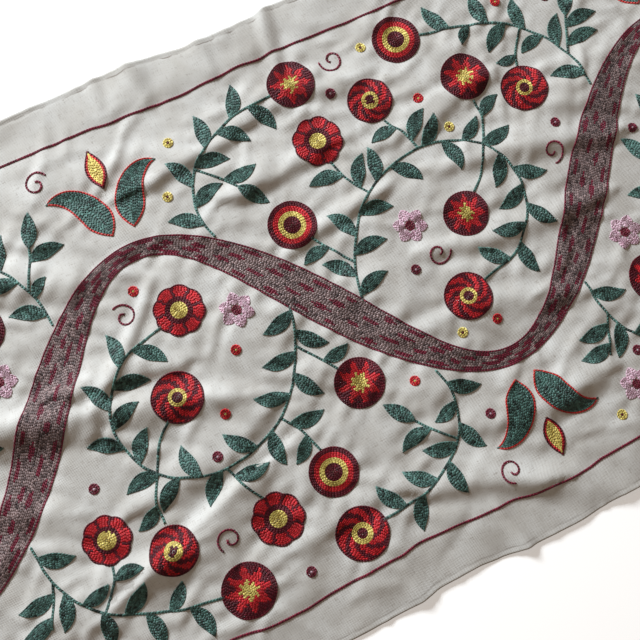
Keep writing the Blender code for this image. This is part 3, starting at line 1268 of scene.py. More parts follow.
@dataclass
class Relaxation:
    """Lets the cloth settle after the stitches have drawn it in, so that it puckers around them.

    The stitches keep the cotton under them short, which leaves slack cotton around them. Each round
    moves neighbouring points towards their own distance, resists sharp bends, and keeps the cloth near
    its laid shape and off the surface below it.
    """

    slack_across: float = 0.058
    slack_along: float = 0.036
    slack_far: float = 0.16
    near_gain: float = 3.2
    reach: int = 8
    rounds: int = 460
    pull: float = 0.42
    stiffness: float = 0.0082
    hold_height: float = 0.0015
    hold_place: float = 0.003
    seed_height: float = 0.12

    def slack(self, cover: np.ndarray) -> np.ndarray:
        """Gives how slack the cotton is, from 0 under stitches to 1 beside them, and less far away.

        Args:
            cover: how much of the cloth is stitched at each point, from 0 to 1.

        Returns:
            The slack at each point.
        """
        near = cover.copy()
        for _ in range(self.reach):
            for axis in (0, 1):
                near = (np.roll(near, 1, axis) + near + np.roll(near, -1, axis)) / 3.0
        near = np.clip(near * self.near_gain, 0.0, 1.0)
        return (self.slack_far + (1.0 - self.slack_far) * near) * (1.0 - cover)

    def settle(self, laid: np.ndarray, cover: np.ndarray, lowest: float) -> np.ndarray:
        """Relaxes a grid of points.

        Args:
            laid: the grid's points before the stitches draw it in, in millimetres.
            cover: how much of the cloth is stitched at each point, from 0 to 1.
            lowest: the least height of a point.

        Returns:
            The grid's points at rest.
        """
        whole, first, last = slice(None), slice(None, -1), slice(1, None)
        across, along = self.slack_across, self.slack_along
        pairs = (
            ((whole, first), (whole, last), along), ((first, whole), (last, whole), across),
            ((first, first), (last, last), (across + along) / 2.0),
            ((first, last), (last, first), (across + along) / 2.0),
        )
        laid = laid.astype(np.float32)
        slack = self.slack(cover).astype(np.float32)
        springs = []
        for a, b, most in pairs:
            apart = np.linalg.norm(laid[b] - laid[a], axis=2)
            springs.append((a, b, apart * (1.0 + most * (slack[a] + slack[b]) / 2.0)))
        grid = laid.copy()
        draws = np.random.default_rng(SEED)
        grid[:, :, 2] += self.seed_height * np.abs(draws.standard_normal(laid.shape[:2], dtype=np.float32))
        for _ in range(self.rounds):
            moves = np.zeros_like(grid)
            for a, b, rest in springs:
                away = grid[b] - grid[a]
                pull = away * (0.5 * (1.0 - rest / np.linalg.norm(away, axis=2)))[:, :, None]
                moves[a] += pull
                moves[b] -= pull
            grid += self.pull * moves
            change = grid - laid
            bend = change[2:] - 2.0 * change[1:-1] + change[:-2]
            grid[1:-1] += 2.0 * self.stiffness * bend
            grid[2:] -= self.stiffness * bend
            grid[:-2] -= self.stiffness * bend
            bend = change[:, 2:] - 2.0 * change[:, 1:-1] + change[:, :-2]
            grid[:, 1:-1] += 2.0 * self.stiffness * bend
            grid[:, 2:] -= self.stiffness * bend
            grid[:, :-2] -= self.stiffness * bend
            grid[:, :, 2] += self.hold_height * (laid[:, :, 2] - grid[:, :, 2])
            grid[:, :, :2] += self.hold_place * (laid[:, :, :2] - grid[:, :, :2])
            grid[:, :, 2] = np.maximum(grid[:, :, 2], lowest)
        return grid


@dataclass
class ClothSurface:
    """The cloth's upper face as a grid of points, and what the stitches need to know of it."""

    form: ClothForm
    columns: int = 384
    rows: int = 194
    end_lines: tuple[float, ...] = (0.0, 2.5, 5.0, 7.5, 10.0, 12.0)
    edge_lines: tuple[float, ...] = (0.0, 1.4, 2.8, 4.2, 5.2)
    press: float = 0.38
    ridge_press: float = 0.60
    most_ridge_press: float = 0.7
    press_gain: float = 1.7
    press_beside: float = 0.7
    swell: float = 1.5
    # The soft swells of laid cloth: each one's own seed, its cell and its rise, in millimetres.
    swells: tuple[tuple[int, float, float], ...] = ((0, 56.0, 1.7), (1, 25.0, 1.4), (4, 12.0, 0.12))
    s: np.ndarray = field(init=False)
    t: np.ndarray = field(init=False)
    grid: np.ndarray = field(init=False)
    normals: np.ndarray = field(init=False)
    cotton: np.ndarray = field(init=False)
    under: np.ndarray = field(init=False)

    def __post_init__(self) -> None:
        """Lays out the grid, before the stitches draw it in."""
        self.s = self.lines(self.end_lines, self.columns, self.form.length)
        self.t = self.lines(self.edge_lines, self.rows, self.form.width)
        s, t = np.meshgrid(self.s, self.t)
        x, y = self.form.laid(s, t)
        relief = self.form.edge_relief(s, t)
        swell = np.full_like(x, self.swell)
        for own_seed, cell, rise in self.swells:
            swell += rise * SoftNoise(SEED + own_seed, cell).at(x, y)
        shape = self.form.lift(x, y) + relief + np.maximum(swell + Creases().height(x, y), 0.0)
        z = shape + self.form.underside + self.form.cotton_thick
        self.grid = np.dstack([x, y, z])
        self.find_normals()
        self.lay_cotton(np.zeros_like(z))

    @staticmethod
    def lines(border: Sequence[float], count: int, size: float) -> np.ndarray:
        """Places grid lines from -1 to 1: close ones along the borders and even ones between.

        Args:
            border: how far the close lines lie from the border, in millimetres.
            count: how many stretches the lines make.
            size: the cloth's size across the lines, in millimetres.

        Returns:
            The lines' places.
        """
        near = np.array(border) * 2.0 / size
        inner = count - 2 * (len(border) - 1)
        even = np.linspace(near[-1] - 1.0, 1.0 - near[-1], inner + 1)
        return np.concatenate([near[:-1] - 1.0, even, (1.0 - near[:-1])[::-1]])

    def find_normals(self) -> None:
        """Works out the upward normal at each point of the grid."""
        along, across = np.gradient(self.grid, axis=1), np.gradient(self.grid, axis=0)
        normals = np.cross(along, across)
        self.normals = normals / np.linalg.norm(normals, axis=2, keepdims=True)

    def index_of(self, place: Points) -> tuple[np.ndarray, np.ndarray]:
        """Turns X and Y into fractional column and row numbers.

        Args:
            place: the points, in millimetres.

        Returns:
            The columns and the rows.
        """
        s, t = self.form.place(place[:, 0], place[:, 1])
        column = np.interp(s, self.s, np.arange(self.columns + 1))
        row = np.interp(t, self.t, np.arange(self.rows + 1))
        return column, row

    def read(self, field_of: np.ndarray, place: Points) -> np.ndarray:
        """Reads a value of the grid at places between its points.

        Args:
            field_of: the value at each point of the grid.
            place: where to read it, in millimetres.

        Returns:
            The value at each place.
        """
        column, row = self.index_of(place)
        c, r = np.minimum(column.astype(int), self.columns - 1), np.minimum(row.astype(int), self.rows - 1)
        fc, fr = (column - c)[:, None], (row - r)[:, None]
        low = field_of[r, c] * (1.0 - fc) + field_of[r, c + 1] * fc
        high = field_of[r + 1, c] * (1.0 - fc) + field_of[r + 1, c + 1] * fc
        return low * (1.0 - fr) + high * fr

    def cover_of(self, stitches: Stitches) -> np.ndarray:
        """Gives how much of the cloth is stitched around each point of the grid, from 0 to 1.

        Args:
            stitches: every stitch of the design.

        Returns:
            The share at each point.
        """
        column, row = self.index_of(stitches.place)
        cover = np.zeros((self.rows + 1, self.columns + 1))
        area = stitches.length * stitches.width
        np.add.at(cover, (np.round(row).astype(int), np.round(column).astype(int)), area)
        step = self.form.length / self.columns
        cover = np.clip(cover / step**2, 0.0, 1.2)
        for _ in range(2):
            cover[1:-1, 1:-1] = (
                4.0 * cover[1:-1, 1:-1] + cover[2:, 1:-1] + cover[:-2, 1:-1]
                + cover[1:-1, 2:] + cover[1:-1, :-2]
            ) / 8.0
        return np.clip(cover, 0.0, 1.0)

    def draw_in(self, stitches: Stitches) -> None:
        """Puckers the cloth around its stitches, and presses the cotton down between them.

        Args:
            stitches: every stitch of the design.
        """
        cover = self.cover_of(stitches)
        lowest = self.form.underside + self.form.cotton_thick
        self.grid = Relaxation().settle(self.grid, cover, lowest)
        self.find_normals()
        wide = cover.copy()
        for axis in (0, 1):
            for step in (-1, 1):
                wide = np.maximum(wide, self.press_beside * np.roll(cover, step, axis))
        self.lay_cotton(np.minimum(self.press_gain * wide, 1.0))

    def lay_cotton(self, pressed: np.ndarray) -> None:
        """Lays the cotton's two faces under the stitches, which press it down, and more so on a ridge.

        Args:
            pressed: how much the stitches press on each point of the grid, from 0 to 1.
        """
        grid, inner = self.grid, np.s_[1:-1, 1:-1]
        around = (grid[2:, 1:-1] + grid[:-2, 1:-1] + grid[1:-1, 2:] + grid[1:-1, :-2]) / 4.0
        ridge = np.zeros(grid.shape[:2])
        ridge[inner] = np.einsum("ijk,ijk->ij", grid[inner] - around, self.normals[inner])
        depth = pressed * (self.press + np.clip(self.ridge_press * ridge, 0.0, self.most_ridge_press))
        self.cotton = grid - depth[:, :, None] * self.normals
        coarse = (self.cotton - self.form.cotton_thick * self.normals)[::2, ::2]
        coarse[:, :, 2] = np.maximum(coarse[:, :, 2], self.form.underside)
        self.under = np.empty_like(self.cotton)
        self.under[::2, ::2] = coarse
        self.under[1::2, ::2] = (coarse[1:] + coarse[:-1]) / 2.0
        self.under[:, 1::2] = (self.under[:, 2::2] + self.under[:, :-2:2]) / 2.0


@dataclass(frozen=True)
class CottonFinish:
    """Unbleached plain-woven cotton, washed and never pressed: matt, a little slubby, softly uneven.

    What the threads measure is in millimetres. Where the margin and the seam line lie, how far they
    wander and how wide they are is in metres from the cloth's middle line, as in the cloth's own map.
    """

    light: str = "#C5C5C1"
    dark: str = "#B2AFA8"
    slub: str = "#A09B94"
    roughness: float = 0.92
    specular: float = 0.25
    sheen: float = 0.12
    sheen_roughness: float = 0.5
    relief: float = 0.16
    mottle_size: float = 30.0
    # The real thread spacing is about 0.4 mm, too fine to show, so the weave is drawn at 0.8 mm.
    thread_spacing: float = 0.8
    margin: str = "#9F9B94"
    margin_from: float = 0.206
    margin_to: float = 0.219
    margin_waver: float = 0.012
    margin_share: float = 0.16
    slub_length: float = 8.0
    slub_width: float = 0.8
    seam_line: float = 0.2474
    seam_half: float = 0.0010
    seam_wander: float = 0.004
    seam_breaks: tuple[float, float] = (16.0, 30.0)
    seam_shares: tuple[float, float] = (0.40, 0.85)
    seam_colour: str = "#62574C"

    def material(self) -> bpy.types.Material:
        """Makes the cotton: a plain weave with thick and thin threads and a faint mottle.

        Returns:
            The material.
        """
        material, shader = plain_material("unbleached_plain_woven_cotton")
        tree = material.node_tree
        shader.inputs["Roughness"].default_value = self.roughness
        shader.inputs["Specular IOR Level"].default_value = self.specular
        shader.inputs["Sheen Weight"].default_value = self.sheen
        shader.inputs["Sheen Roughness"].default_value = self.sheen_roughness
        # The cloth's map is in metres along and across it, so every scale below is 1 over metres.
        flat = add_node(tree, "ShaderNodeUVMap", uv_map="cloth").outputs["UV"]
        scale = 1.0 / (self.mottle_size * MM)
        mottle = add_node(tree, "ShaderNodeTexNoise", {"Vector": flat, "Scale": scale, "Detail": 5.0,
                                                       "Roughness": 0.6})
        slubs = []
        for stretch in ((self.slub_length, self.slub_width), (self.slub_width, self.slub_length)):
            scale = (1.0 / (stretch[0] * MM), 1.0 / (stretch[1] * MM), 1.0)
            mapped = add_node(tree, "ShaderNodeMapping", {"Vector": flat, "Scale": scale})
            noise = add_node(tree, "ShaderNodeTexNoise", {"Vector": mapped.outputs[0], "Scale": 1.0,
                                                          "Detail": 2.0})
            slubs.append(noise.outputs["Fac"])
        both = add_node(tree, "ShaderNodeMath", {0: slubs[0], 1: slubs[1]}, operation="ADD")
        thread = add_node(tree, "ShaderNodeMapRange", {"Value": both.outputs[0], "From Min": 0.7,
                                                       "From Max": 1.3, "To Min": 0.0, "To Max": 1.0})
        patch = add_node(tree, "ShaderNodeMapRange", {"Value": mottle.outputs["Fac"], "From Min": 0.3,
                                                      "From Max": 0.7})
        ground = add_node(tree, "ShaderNodeMix", {"Factor": patch.outputs[0], "A": linear_colour(self.dark),
                                                  "B": linear_colour(self.light)}, data_type="RGBA")
        threads = add_node(tree, "ShaderNodeMapRange", {"Value": thread.outputs[0], "From Min": 0.35,
                                                        "From Max": 0.0, "To Min": 0.0, "To Max": 0.9})
        colour = add_node(tree, "ShaderNodeMix", {"Factor": threads.outputs[0], "A": ground.outputs["Result"],
                                                  "B": linear_colour(self.slub)}, data_type="RGBA")
        # The cotton is mixed a little towards the grey margin colour along both selvages.
        margin_grey = self.greyer_margin(tree, flat, mottle.outputs["Fac"])
        whole = add_node(tree, "ShaderNodeMix", {"Factor": margin_grey, "A": colour.outputs["Result"],
                                                 "B": linear_colour(self.margin)}, data_type="RGBA")
        seam = self.selvage_line(tree, flat)
        drawn = add_node(tree, "ShaderNodeMix", {"Factor": seam, "A": whole.outputs["Result"],
                                                 "B": linear_colour(self.seam_colour)}, data_type="RGBA")
        tree.links.new(drawn.outputs["Result"], shader.inputs["Base Color"])
        weave = self.weave_height(tree, flat)
        height = add_node(tree, "ShaderNodeMath", {0: weave, 1: thread.outputs[0]}, operation="ADD")
        bump = add_node(tree, "ShaderNodeBump", {"Height": height.outputs[0], "Strength": 0.55,
                                                 "Distance": self.relief * MM})
        tree.links.new(bump.outputs["Normal"], shader.inputs["Normal"])
        return material

    def greyer_margin(self, tree: bpy.types.NodeTree, flat: bpy.types.NodeSocket,
                    mottle: bpy.types.NodeSocket) -> bpy.types.NodeSocket:
        """Gives how much greyer the cotton is made along both selvages.

        Args:
            tree: the material's node tree.
            flat: the cloth's own map.
            mottle: the mottle's value.

        Returns:
            The socket that gives the share.
        """
        parts = add_node(tree, "ShaderNodeSeparateXYZ", {"Vector": flat})
        away = add_node(tree, "ShaderNodeMath", {0: parts.outputs["Y"]}, operation="ABSOLUTE")
        uneven = add_node(tree, "ShaderNodeMath", {0: mottle, 1: self.margin_waver, 2: away.outputs[0]},
                          operation="MULTIPLY_ADD")
        share = add_node(tree, "ShaderNodeMapRange", {
            "Value": uneven.outputs[0], "From Min": self.margin_from, "From Max": self.margin_to,
            "To Max": self.margin_share,
        })
        return share.outputs[0]

    def selvage_line(self, tree: bpy.types.NodeTree, flat: bpy.types.NodeSocket) -> bpy.types.NodeSocket:
        """Gives the broken dark line of the outermost warp threads, along both selvages.

        Args:
            tree: the material's node tree.
            flat: the cloth's own map.

        Returns:
            The socket that gives the line's share.
        """
        parts = add_node(tree, "ShaderNodeSeparateXYZ", {"Vector": flat})
        away = add_node(tree, "ShaderNodeMath", {0: parts.outputs["Y"]}, operation="ABSOLUTE")
        scale = (1.0 / (self.seam_breaks[0] * MM), 1.0 / (self.seam_breaks[1] * MM), 1.0)
        mapped = add_node(tree, "ShaderNodeMapping", {"Vector": flat, "Scale": scale})
        noise = add_node(tree, "ShaderNodeTexNoise", {"Vector": mapped.outputs[0], "Scale": 1.0,
                                                      "Detail": 3.0})
        wander = add_node(tree, "ShaderNodeMath", {0: noise.outputs["Fac"], 1: self.seam_wander,
                                                   2: away.outputs[0]}, operation="MULTIPLY_ADD")
        middle = self.seam_line + self.seam_wander / 2.0
        off = add_node(tree, "ShaderNodeMath", {0: wander.outputs[0], 1: middle}, operation="SUBTRACT")
        size = add_node(tree, "ShaderNodeMath", {0: off.outputs[0]}, operation="ABSOLUTE")
        line = add_node(tree, "ShaderNodeMapRange", {
            "Value": size.outputs[0], "From Min": 0.0, "From Max": self.seam_half, "To Min": 0.95,
            "To Max": 0.0,
        })
        broken = add_node(tree, "ShaderNodeMapRange", {"Value": noise.outputs["Fac"], "From Min": 0.44,
                                                       "From Max": 0.58})
        by_side = add_node(tree, "ShaderNodeMapRange", {
            "Value": parts.outputs["Y"], "From Min": -0.1, "From Max": 0.1, "To Min": self.seam_shares[0],
            "To Max": self.seam_shares[1],
        })
        share = add_node(tree, "ShaderNodeMath", {0: broken.outputs[0], 1: by_side.outputs[0]},
                         operation="MULTIPLY")
        seam = add_node(tree, "ShaderNodeMath", {0: line.outputs[0], 1: share.outputs[0]},
                        operation="MULTIPLY")
        return seam.outputs[0]

    def weave_height(self, tree: bpy.types.NodeTree, flat: bpy.types.NodeSocket) -> bpy.types.NodeSocket:
        """Gives the height of threads that pass over and under each other.

        Args:
            tree: the material's node tree.
            flat: the cloth's own map.

        Returns:
            The socket that gives the height.
        """
        turns = math.pi / (self.thread_spacing * MM)
        parts = add_node(tree, "ShaderNodeSeparateXYZ", {"Vector": flat})
        waves = []
        for axis in ("X", "Y"):
            angle = add_node(tree, "ShaderNodeMath", {0: parts.outputs[axis], 1: turns}, operation="MULTIPLY")
            waves.append(add_node(tree, "ShaderNodeMath", {0: angle.outputs[0]}, operation="SINE").outputs[0])
        crossing = add_node(tree, "ShaderNodeMath", {0: waves[0], 1: waves[1]}, operation="MULTIPLY")
        return crossing.outputs[0]


@dataclass
class Cloth:
    """The cotton sheet: a fine upper face, a coarser underside and the edge between them."""

    surface: ClothSurface
    finish: CottonFinish = field(default_factory=CottonFinish)

    def build(self) -> bpy.types.Object:
        """Makes the sheet as one closed mesh.

        Returns:
            The sheet, in place.
        """
        top = self.surface.cotton
        under = self.surface.under[::2, ::2]
        rows, columns = top.shape[:2]
        few_rows, few_columns = under.shape[:2]
        top_index = np.arange(rows * columns).reshape(rows, columns)
        low_index = rows * columns + np.arange(few_rows * few_columns).reshape(few_rows, few_columns)
        faces = [self.quads(top_index), self.quads(low_index)[:, ::-1]]
        borders = (
            (top_index[0], low_index[0]), (top_index[:, -1], low_index[:, -1]),
            (top_index[-1, ::-1], low_index[-1, ::-1]), (top_index[::-1, 0], low_index[::-1, 0]),
        )
        thirds = np.vstack([self.edge_strip(fine, coarse) for fine, coarse in borders])
        points = np.vstack([top.reshape(-1, 3), under.reshape(-1, 3)])
        mesh = mesh_of("cotton_ground", points, [*faces, thirds])
        self.map_flat(mesh)
        mesh.materials.append(self.finish.material())
        sheet = bpy.data.objects.new("cotton_ground", mesh)
        bpy.context.scene.collection.objects.link(sheet)
        log.info("cotton ground: %d faces", len(mesh.polygons))
        return sheet

    @staticmethod
    def quads(index: np.ndarray) -> np.ndarray:
        """Gives the faces of a grid, seen from above."""
        corners = (index[:-1, :-1], index[:-1, 1:], index[1:, 1:], index[1:, :-1])
        return np.stack([corner.ravel() for corner in corners], axis=1)

    @staticmethod
    def edge_strip(fine: np.ndarray, coarse: np.ndarray) -> np.ndarray:
        """Joins a fine border to one with half as many points, with three triangles to each stretch.

        Args:
            fine: the fine border's vertices, in order.
            coarse: the coarse border's, in the same order.

        Returns:
            The triangles.
        """
        start, middle, end = fine[:-2:2], fine[1:-1:2], fine[2::2]
        near, far = coarse[:-1], coarse[1:]
        return np.vstack([
            np.column_stack([start, near, middle]), np.column_stack([middle, near, far]),
            np.column_stack([middle, far, end]),
        ])

    def map_flat(self, mesh: bpy.types.Mesh) -> None:
        """Gives the mesh its map: metres along and across the cloth, as it was woven.

        Args:
            mesh: the sheet's mesh.
        """
        form = self.surface.form
        s, t = np.meshgrid(self.surface.s * form.length / 2.0 * MM, self.surface.t * form.width / 2.0 * MM)
        fine = np.dstack([s, t])
        flat = np.vstack([fine.reshape(-1, 2), fine[::2, ::2].reshape(-1, 2)])
        set_map(mesh, "cloth", flat)


def mesh_of(name: str, points: np.ndarray, faces: Sequence[np.ndarray]) -> bpy.types.Mesh:
    """Makes a mesh of many points, as for a sheet or for hundreds of small things.

    Args:
        name: the mesh's name.
        points: its points, in millimetres.
        faces: its faces, in one array for each number of corners.

    Returns:
        The mesh, in metres and smooth shaded.
    """
    mesh = bpy.data.meshes.new(name)
    mesh.vertices.add(len(points))
    mesh.vertices.foreach_set("co", (points * MM).astype(np.float32).ravel())
    corners = np.concatenate([part.ravel() for part in faces])
    sizes = np.concatenate([np.full(len(part), part.shape[1]) for part in faces])
    mesh.loops.add(len(corners))
    mesh.loops.foreach_set("vertex_index", corners.astype(np.int32))
    mesh.polygons.add(len(sizes))
    mesh.polygons.foreach_set("loop_start", (np.cumsum(sizes) - sizes).astype(np.int32))
    mesh.update(calc_edges=True)
    mesh.shade_smooth()
    return mesh


def set_map(mesh: bpy.types.Mesh, name: str, by_vertex: np.ndarray) -> None:
    """Gives a mesh a UV map from one value for each vertex.

    Args:
        mesh: the mesh.
        name: the map's name.
        by_vertex: the map's place for each vertex.
    """
    index = np.empty(len(mesh.loops), dtype=np.int32)
    mesh.loops.foreach_get("vertex_index", index)
    layer = mesh.uv_layers.new(name=name)
    layer.data.foreach_set("uv", by_vertex[index].astype(np.float32).ravel())


# The yarn


@dataclass(frozen=True)
class YarnFinish:
    """Stranded, dyed cotton floss: a soft gloss along the strands, and a shade that varies in the dye."""

    yarn: Yarn
    deep: str
    pale: str
    spread: float
    fleck: float = 0.36
    gloss: float = 0.55
    sheen: float = 0.20
    sheen_roughness: float = 0.4
    specular: float = 0.4
    relief: float = 0.10
    # The floss has six strands, about 0.25 mm apart across a stitch.
    strand_spacing: float = 0.25

    def material(self) -> bpy.types.Material:
        """Makes the floss, from its deep shade to its pale one.

        Returns:
            The material.
        """
        material, shader = plain_material(f"stranded_cotton_floss_{self.yarn.name.lower()}")
        tree = material.node_tree
        shader.inputs["Roughness"].default_value = self.gloss
        shader.inputs["Specular IOR Level"].default_value = self.specular
        shader.inputs["Sheen Weight"].default_value = self.sheen
        shader.inputs["Sheen Roughness"].default_value = self.sheen_roughness
        tone = add_node(tree, "ShaderNodeAttribute", attribute_name="tone", attribute_type="GEOMETRY")
        strand = add_node(tree, "ShaderNodeUVMap", uv_map="strand")
        scale = (1.0 / (5.0 * self.strand_spacing * MM), 1.0 / (self.strand_spacing * MM), 1.0)
        mapped = add_node(tree, "ShaderNodeMapping", {"Vector": strand.outputs["UV"], "Scale": scale})
        fibres = add_node(tree, "ShaderNodeTexNoise", {"Vector": mapped.outputs[0], "Scale": 1.0,
                                                       "Detail": 2.0})
        shade = add_node(tree, "ShaderNodeMath", {0: fibres.outputs["Fac"], 1: 1.6 * self.fleck,
                                                  2: -0.8 * self.fleck}, operation="MULTIPLY_ADD")
        mixed = add_node(tree, "ShaderNodeMath", {0: tone.outputs["Fac"], 1: shade.outputs[0]},
                         operation="ADD", use_clamp=True)
        colour = add_node(tree, "ShaderNodeMix", {"Factor": mixed.outputs[0], "A": linear_colour(self.deep),
                                                  "B": linear_colour(self.pale)}, data_type="RGBA")
        tree.links.new(colour.outputs["Result"], shader.inputs["Base Color"])
        bump = add_node(tree, "ShaderNodeBump", {"Height": fibres.outputs["Fac"], "Strength": 0.5,
                                                 "Distance": self.relief * MM})
        tree.links.new(bump.outputs["Normal"], shader.inputs["Normal"])
        return material


YARN_FINISHES = (
    YarnFinish(Yarn.RED, "#94000B", "#E82430", 0.17, sheen=0.10),
    YarnFinish(Yarn.MAROON, "#36000B", "#760722", 0.16, sheen=0.06),
    YarnFinish(Yarn.YELLOW, "#B0923A", "#FBEC86", 0.20),
    YarnFinish(Yarn.GREEN, "#0A1E18", "#5F8A80", 0.25, fleck=0.66, sheen=0.14),
    YarnFinish(Yarn.TAUPE, "#321E1E", "#B39A97", 0.22, fleck=1.0),
    YarnFinish(Yarn.CRIMSON, "#4C061C", "#901539", 0.15),
    YarnFinish(Yarn.SCARLET, "#A20D10", "#E0342B", 0.15),
    YarnFinish(Yarn.PINK, "#B8869A", "#EAD0DA", 0.17),
    YarnFinish(Yarn.CREAM, "#AFABA2", "#D2CEC6", 0.12),
)


@dataclass(frozen=True)
class ChainStitch:
    """The form of one chain stitch: two arms of yarn that part from the middle of the row.

    Lengths along the row are shares of the stitch's length, and those across it of the row's width.
    """

    slant: float = 0.20
    overlap: float = 0.06
    half: float = 0.51
    arm_near: float = 0.20
    arm_far: float = 0.31
    crest_back: float = 0.16
    crest_front: float = 0.14
    rise: float = 0.62
    seam_rise: float = 0.12
    skirt: float = 0.20

    def corners(self) -> np.ndarray:
        """Gives the stitch's ten corners, as along, across and height.

        Returns:
            One row for each corner.
        """
        back, front = -0.5 - self.overlap / 2.0, 0.5 + self.overlap / 2.0
        half, foot = self.half, -self.skirt
        crest_back, crest_front = back + self.crest_back, front - self.crest_front
        return np.array([
            (back + self.slant, half, foot), (front + self.slant, half, foot),
            (back - self.slant, 0.0, self.seam_rise), (front - self.slant, 0.0, self.seam_rise),
            (back + self.slant, -half, foot), (front + self.slant, -half, foot),
            (crest_back, self.arm_near, self.rise), (crest_front, self.arm_far, 0.9 * self.rise),
            (crest_back, -self.arm_near, self.rise), (crest_front, -self.arm_far, 0.9 * self.rise),
        ])

    def faces(self) -> list[tuple[int, ...]]:
        """Gives the faces of a closed stitch, pointing outwards."""
        return [
            (0, 6, 7, 1), (6, 2, 3, 7), (0, 2, 6), (1, 7, 3), (0, 1, 3, 2),
            (4, 5, 9, 8), (8, 9, 3, 2), (4, 8, 2), (5, 3, 9), (4, 2, 3, 5),
        ]


@dataclass
class Embroidery:
    """Turns the design's stitches into yarn on the cloth, one piece for each yarn."""

    surface: ClothSurface
    stitches: Stitches
    form: ChainStitch = field(default_factory=ChainStitch)
    sink: float = 0.10
    reverse_length: float = 3.0
    reverse_width: float = 0.8
    reverse_depth: float = 0.13
    reverse_every: int = 4
    most_in_a_piece: int = 11500
    lowest_height: float = 0.35
    middle_tone: float = 0.46
    # How the dye drifts over the cloth: each drift's own seed, its cell in millimetres and its strength.
    drifts: tuple[tuple[int, float, float], ...] = ((2, 34.0, 0.10), (3, 7.0, 0.08))

    def tones(self, batch: Stitches, spread: float) -> np.ndarray:
        """Gives each stitch its shade of the dye: uneven from place to place and from stitch to stitch.

        Args:
            batch: the stitches.
            spread: how much the shade varies from stitch to stitch.

        Returns:
            Each stitch's shade, from about 0 for the deepest to 1 for the palest.
        """
        x, y = batch.place.T
        draws = np.random.default_rng(SEED + 5)
        drift = sum(share * SoftNoise(SEED + seed, cell).at(x, y) for seed, cell, share in self.drifts)
        return self.middle_tone + drift + draws.normal(0.0, spread, len(x))

    def laid_on(self, batch: Stitches, corners: np.ndarray, face: np.ndarray) -> np.ndarray:
        """Lays each stitch's corners on the cloth, so that a stitch bends as the cloth does.

        Args:
            batch: the stitches.
            corners: their corners as along, across and height, in millimetres.
            face: the grid of the face that the stitches lie on.

        Returns:
            The corners' places, one row for each corner.
        """
        turn = batch.heading[:, None]
        along, across = corners[:, :, 0], corners[:, :, 1]
        x = batch.place[:, 0:1] + along * np.cos(turn) - across * np.sin(turn)
        y = batch.place[:, 1:2] + along * np.sin(turn) + across * np.cos(turn)
        spots = np.column_stack([x.ravel(), y.ravel()])
        up = self.surface.read(self.surface.normals, spots)
        up /= np.linalg.norm(up, axis=1, keepdims=True)
        return self.surface.read(face, spots) + up * corners[:, :, 2].reshape(-1, 1)

    def piece(self, name: str, batch: Stitches, corners: np.ndarray, faces: list[tuple[int, ...]],
              face: np.ndarray, finish: bpy.types.Material, spread: float) -> bpy.types.Object:
        """Makes one piece of many stitches.

        Args:
            name: the piece's name.
            batch: its stitches.
            corners: one stitch's corners, for each stitch or for all, in millimetres.
            faces: one stitch's faces.
            face: the grid of the cloth's face that the stitches lie on.
            finish: its material.
            spread: how much the dye's shade varies from stitch to stitch.

        Returns:
            The piece, in place.
        """
        points = self.laid_on(batch, corners, face)
        count, each = corners.shape[:2]
        offsets = np.arange(count)[:, None] * each
        polygons = []
        for size in sorted({len(face) for face in faces}):
            pattern = np.array([face for face in faces if len(face) == size])
            polygons.append((offsets[:, :, None] + pattern[None, :, :]).reshape(-1, size))
        mesh = mesh_of(name, points, polygons)
        tone = mesh.attributes.new("tone", "FLOAT", "POINT")
        tone.data.foreach_set("value", np.repeat(self.tones(batch, spread), each).astype(np.float32))
        shift = np.random.default_rng(SEED + 6).uniform(0.0, 0.4, (count, 1, 2))
        strand = corners[:, :, :2] * MM + shift
        set_map(mesh, "strand", strand.reshape(-1, 2))
        mesh.materials.append(finish)
        piece = bpy.data.objects.new(name, mesh)
        bpy.context.scene.collection.objects.link(piece)
        log.info("%s: %d stitches", name, count)
        return piece

    def front_corners(self, batch: Stitches) -> np.ndarray:
        """Sizes the chain stitch to each stitch's own length and width, a narrow one lower.

        Args:
            batch: the stitches.

        Returns:
            The corners of each stitch, in millimetres.
        """
        height = np.minimum(self.lowest_height + (1.0 - self.lowest_height) * batch.width / ROW_PITCH, 1.0)
        size = np.column_stack([batch.length, batch.width, height])
        corners = self.form.corners()[None, :, :] * size[:, None, :]
        corners[:, :, 2] -= self.sink
        return corners

    def reverse_corners(self, batch: Stitches) -> np.ndarray:
        """Gives the short flat stitches that show on the cloth's underside.

        Args:
            batch: the stitches.

        Returns:
            The corners of each stitch, in millimetres.
        """
        half = self.reverse_width / 2.0
        spindle = np.array([(-0.5, 0.0, -1.0), (0.5, 0.0, -1.0), (0.0, half, 0.4), (0.0, -half, 0.4)])
        corners = np.repeat(spindle[None, :, :], len(batch.length), axis=0)
        corners[:, :, 0] *= (self.reverse_length * batch.length)[:, None]
        corners[:, :, 2] *= self.reverse_depth
        return corners

    def build(self) -> list[bpy.types.Object]:
        """Makes the front and the reverse of each yarn's stitches.

        Returns:
            The pieces, none of them with more stitches than is easy to handle.
        """
        pieces = []
        reverse_faces = [(0, 2, 1), (0, 1, 3), (0, 3, 2), (1, 2, 3)]
        for finish in YARN_FINISHES:
            batch = self.stitches.kept(self.stitches.yarn == finish.yarn.value)
            if not len(batch.length):
                continue
            material = finish.material()
            name = finish.yarn.name.lower()
            groups = math.ceil(len(batch.length) / self.most_in_a_piece)
            rank = np.argsort(np.argsort(batch.place[:, 0]))
            for index in range(groups):
                part = batch.kept(rank * groups // len(rank) == index)
                front = self.front_corners(part)
                label = f"chain_stitch_{name}_{index + 1}"
                pieces.append(self.piece(label, part, front, self.form.faces(), self.surface.grid, material,
                                         finish.spread))
            behind = batch.kept(np.arange(len(batch.length)) % self.reverse_every == 0)
            reverse = self.reverse_corners(behind)
            label = f"reverse_stitch_{name}"
            pieces.append(self.piece(label, behind, reverse, reverse_faces, self.surface.under, material,
                                     finish.spread))
            pieces[-1].data.shade_flat()
        return pieces


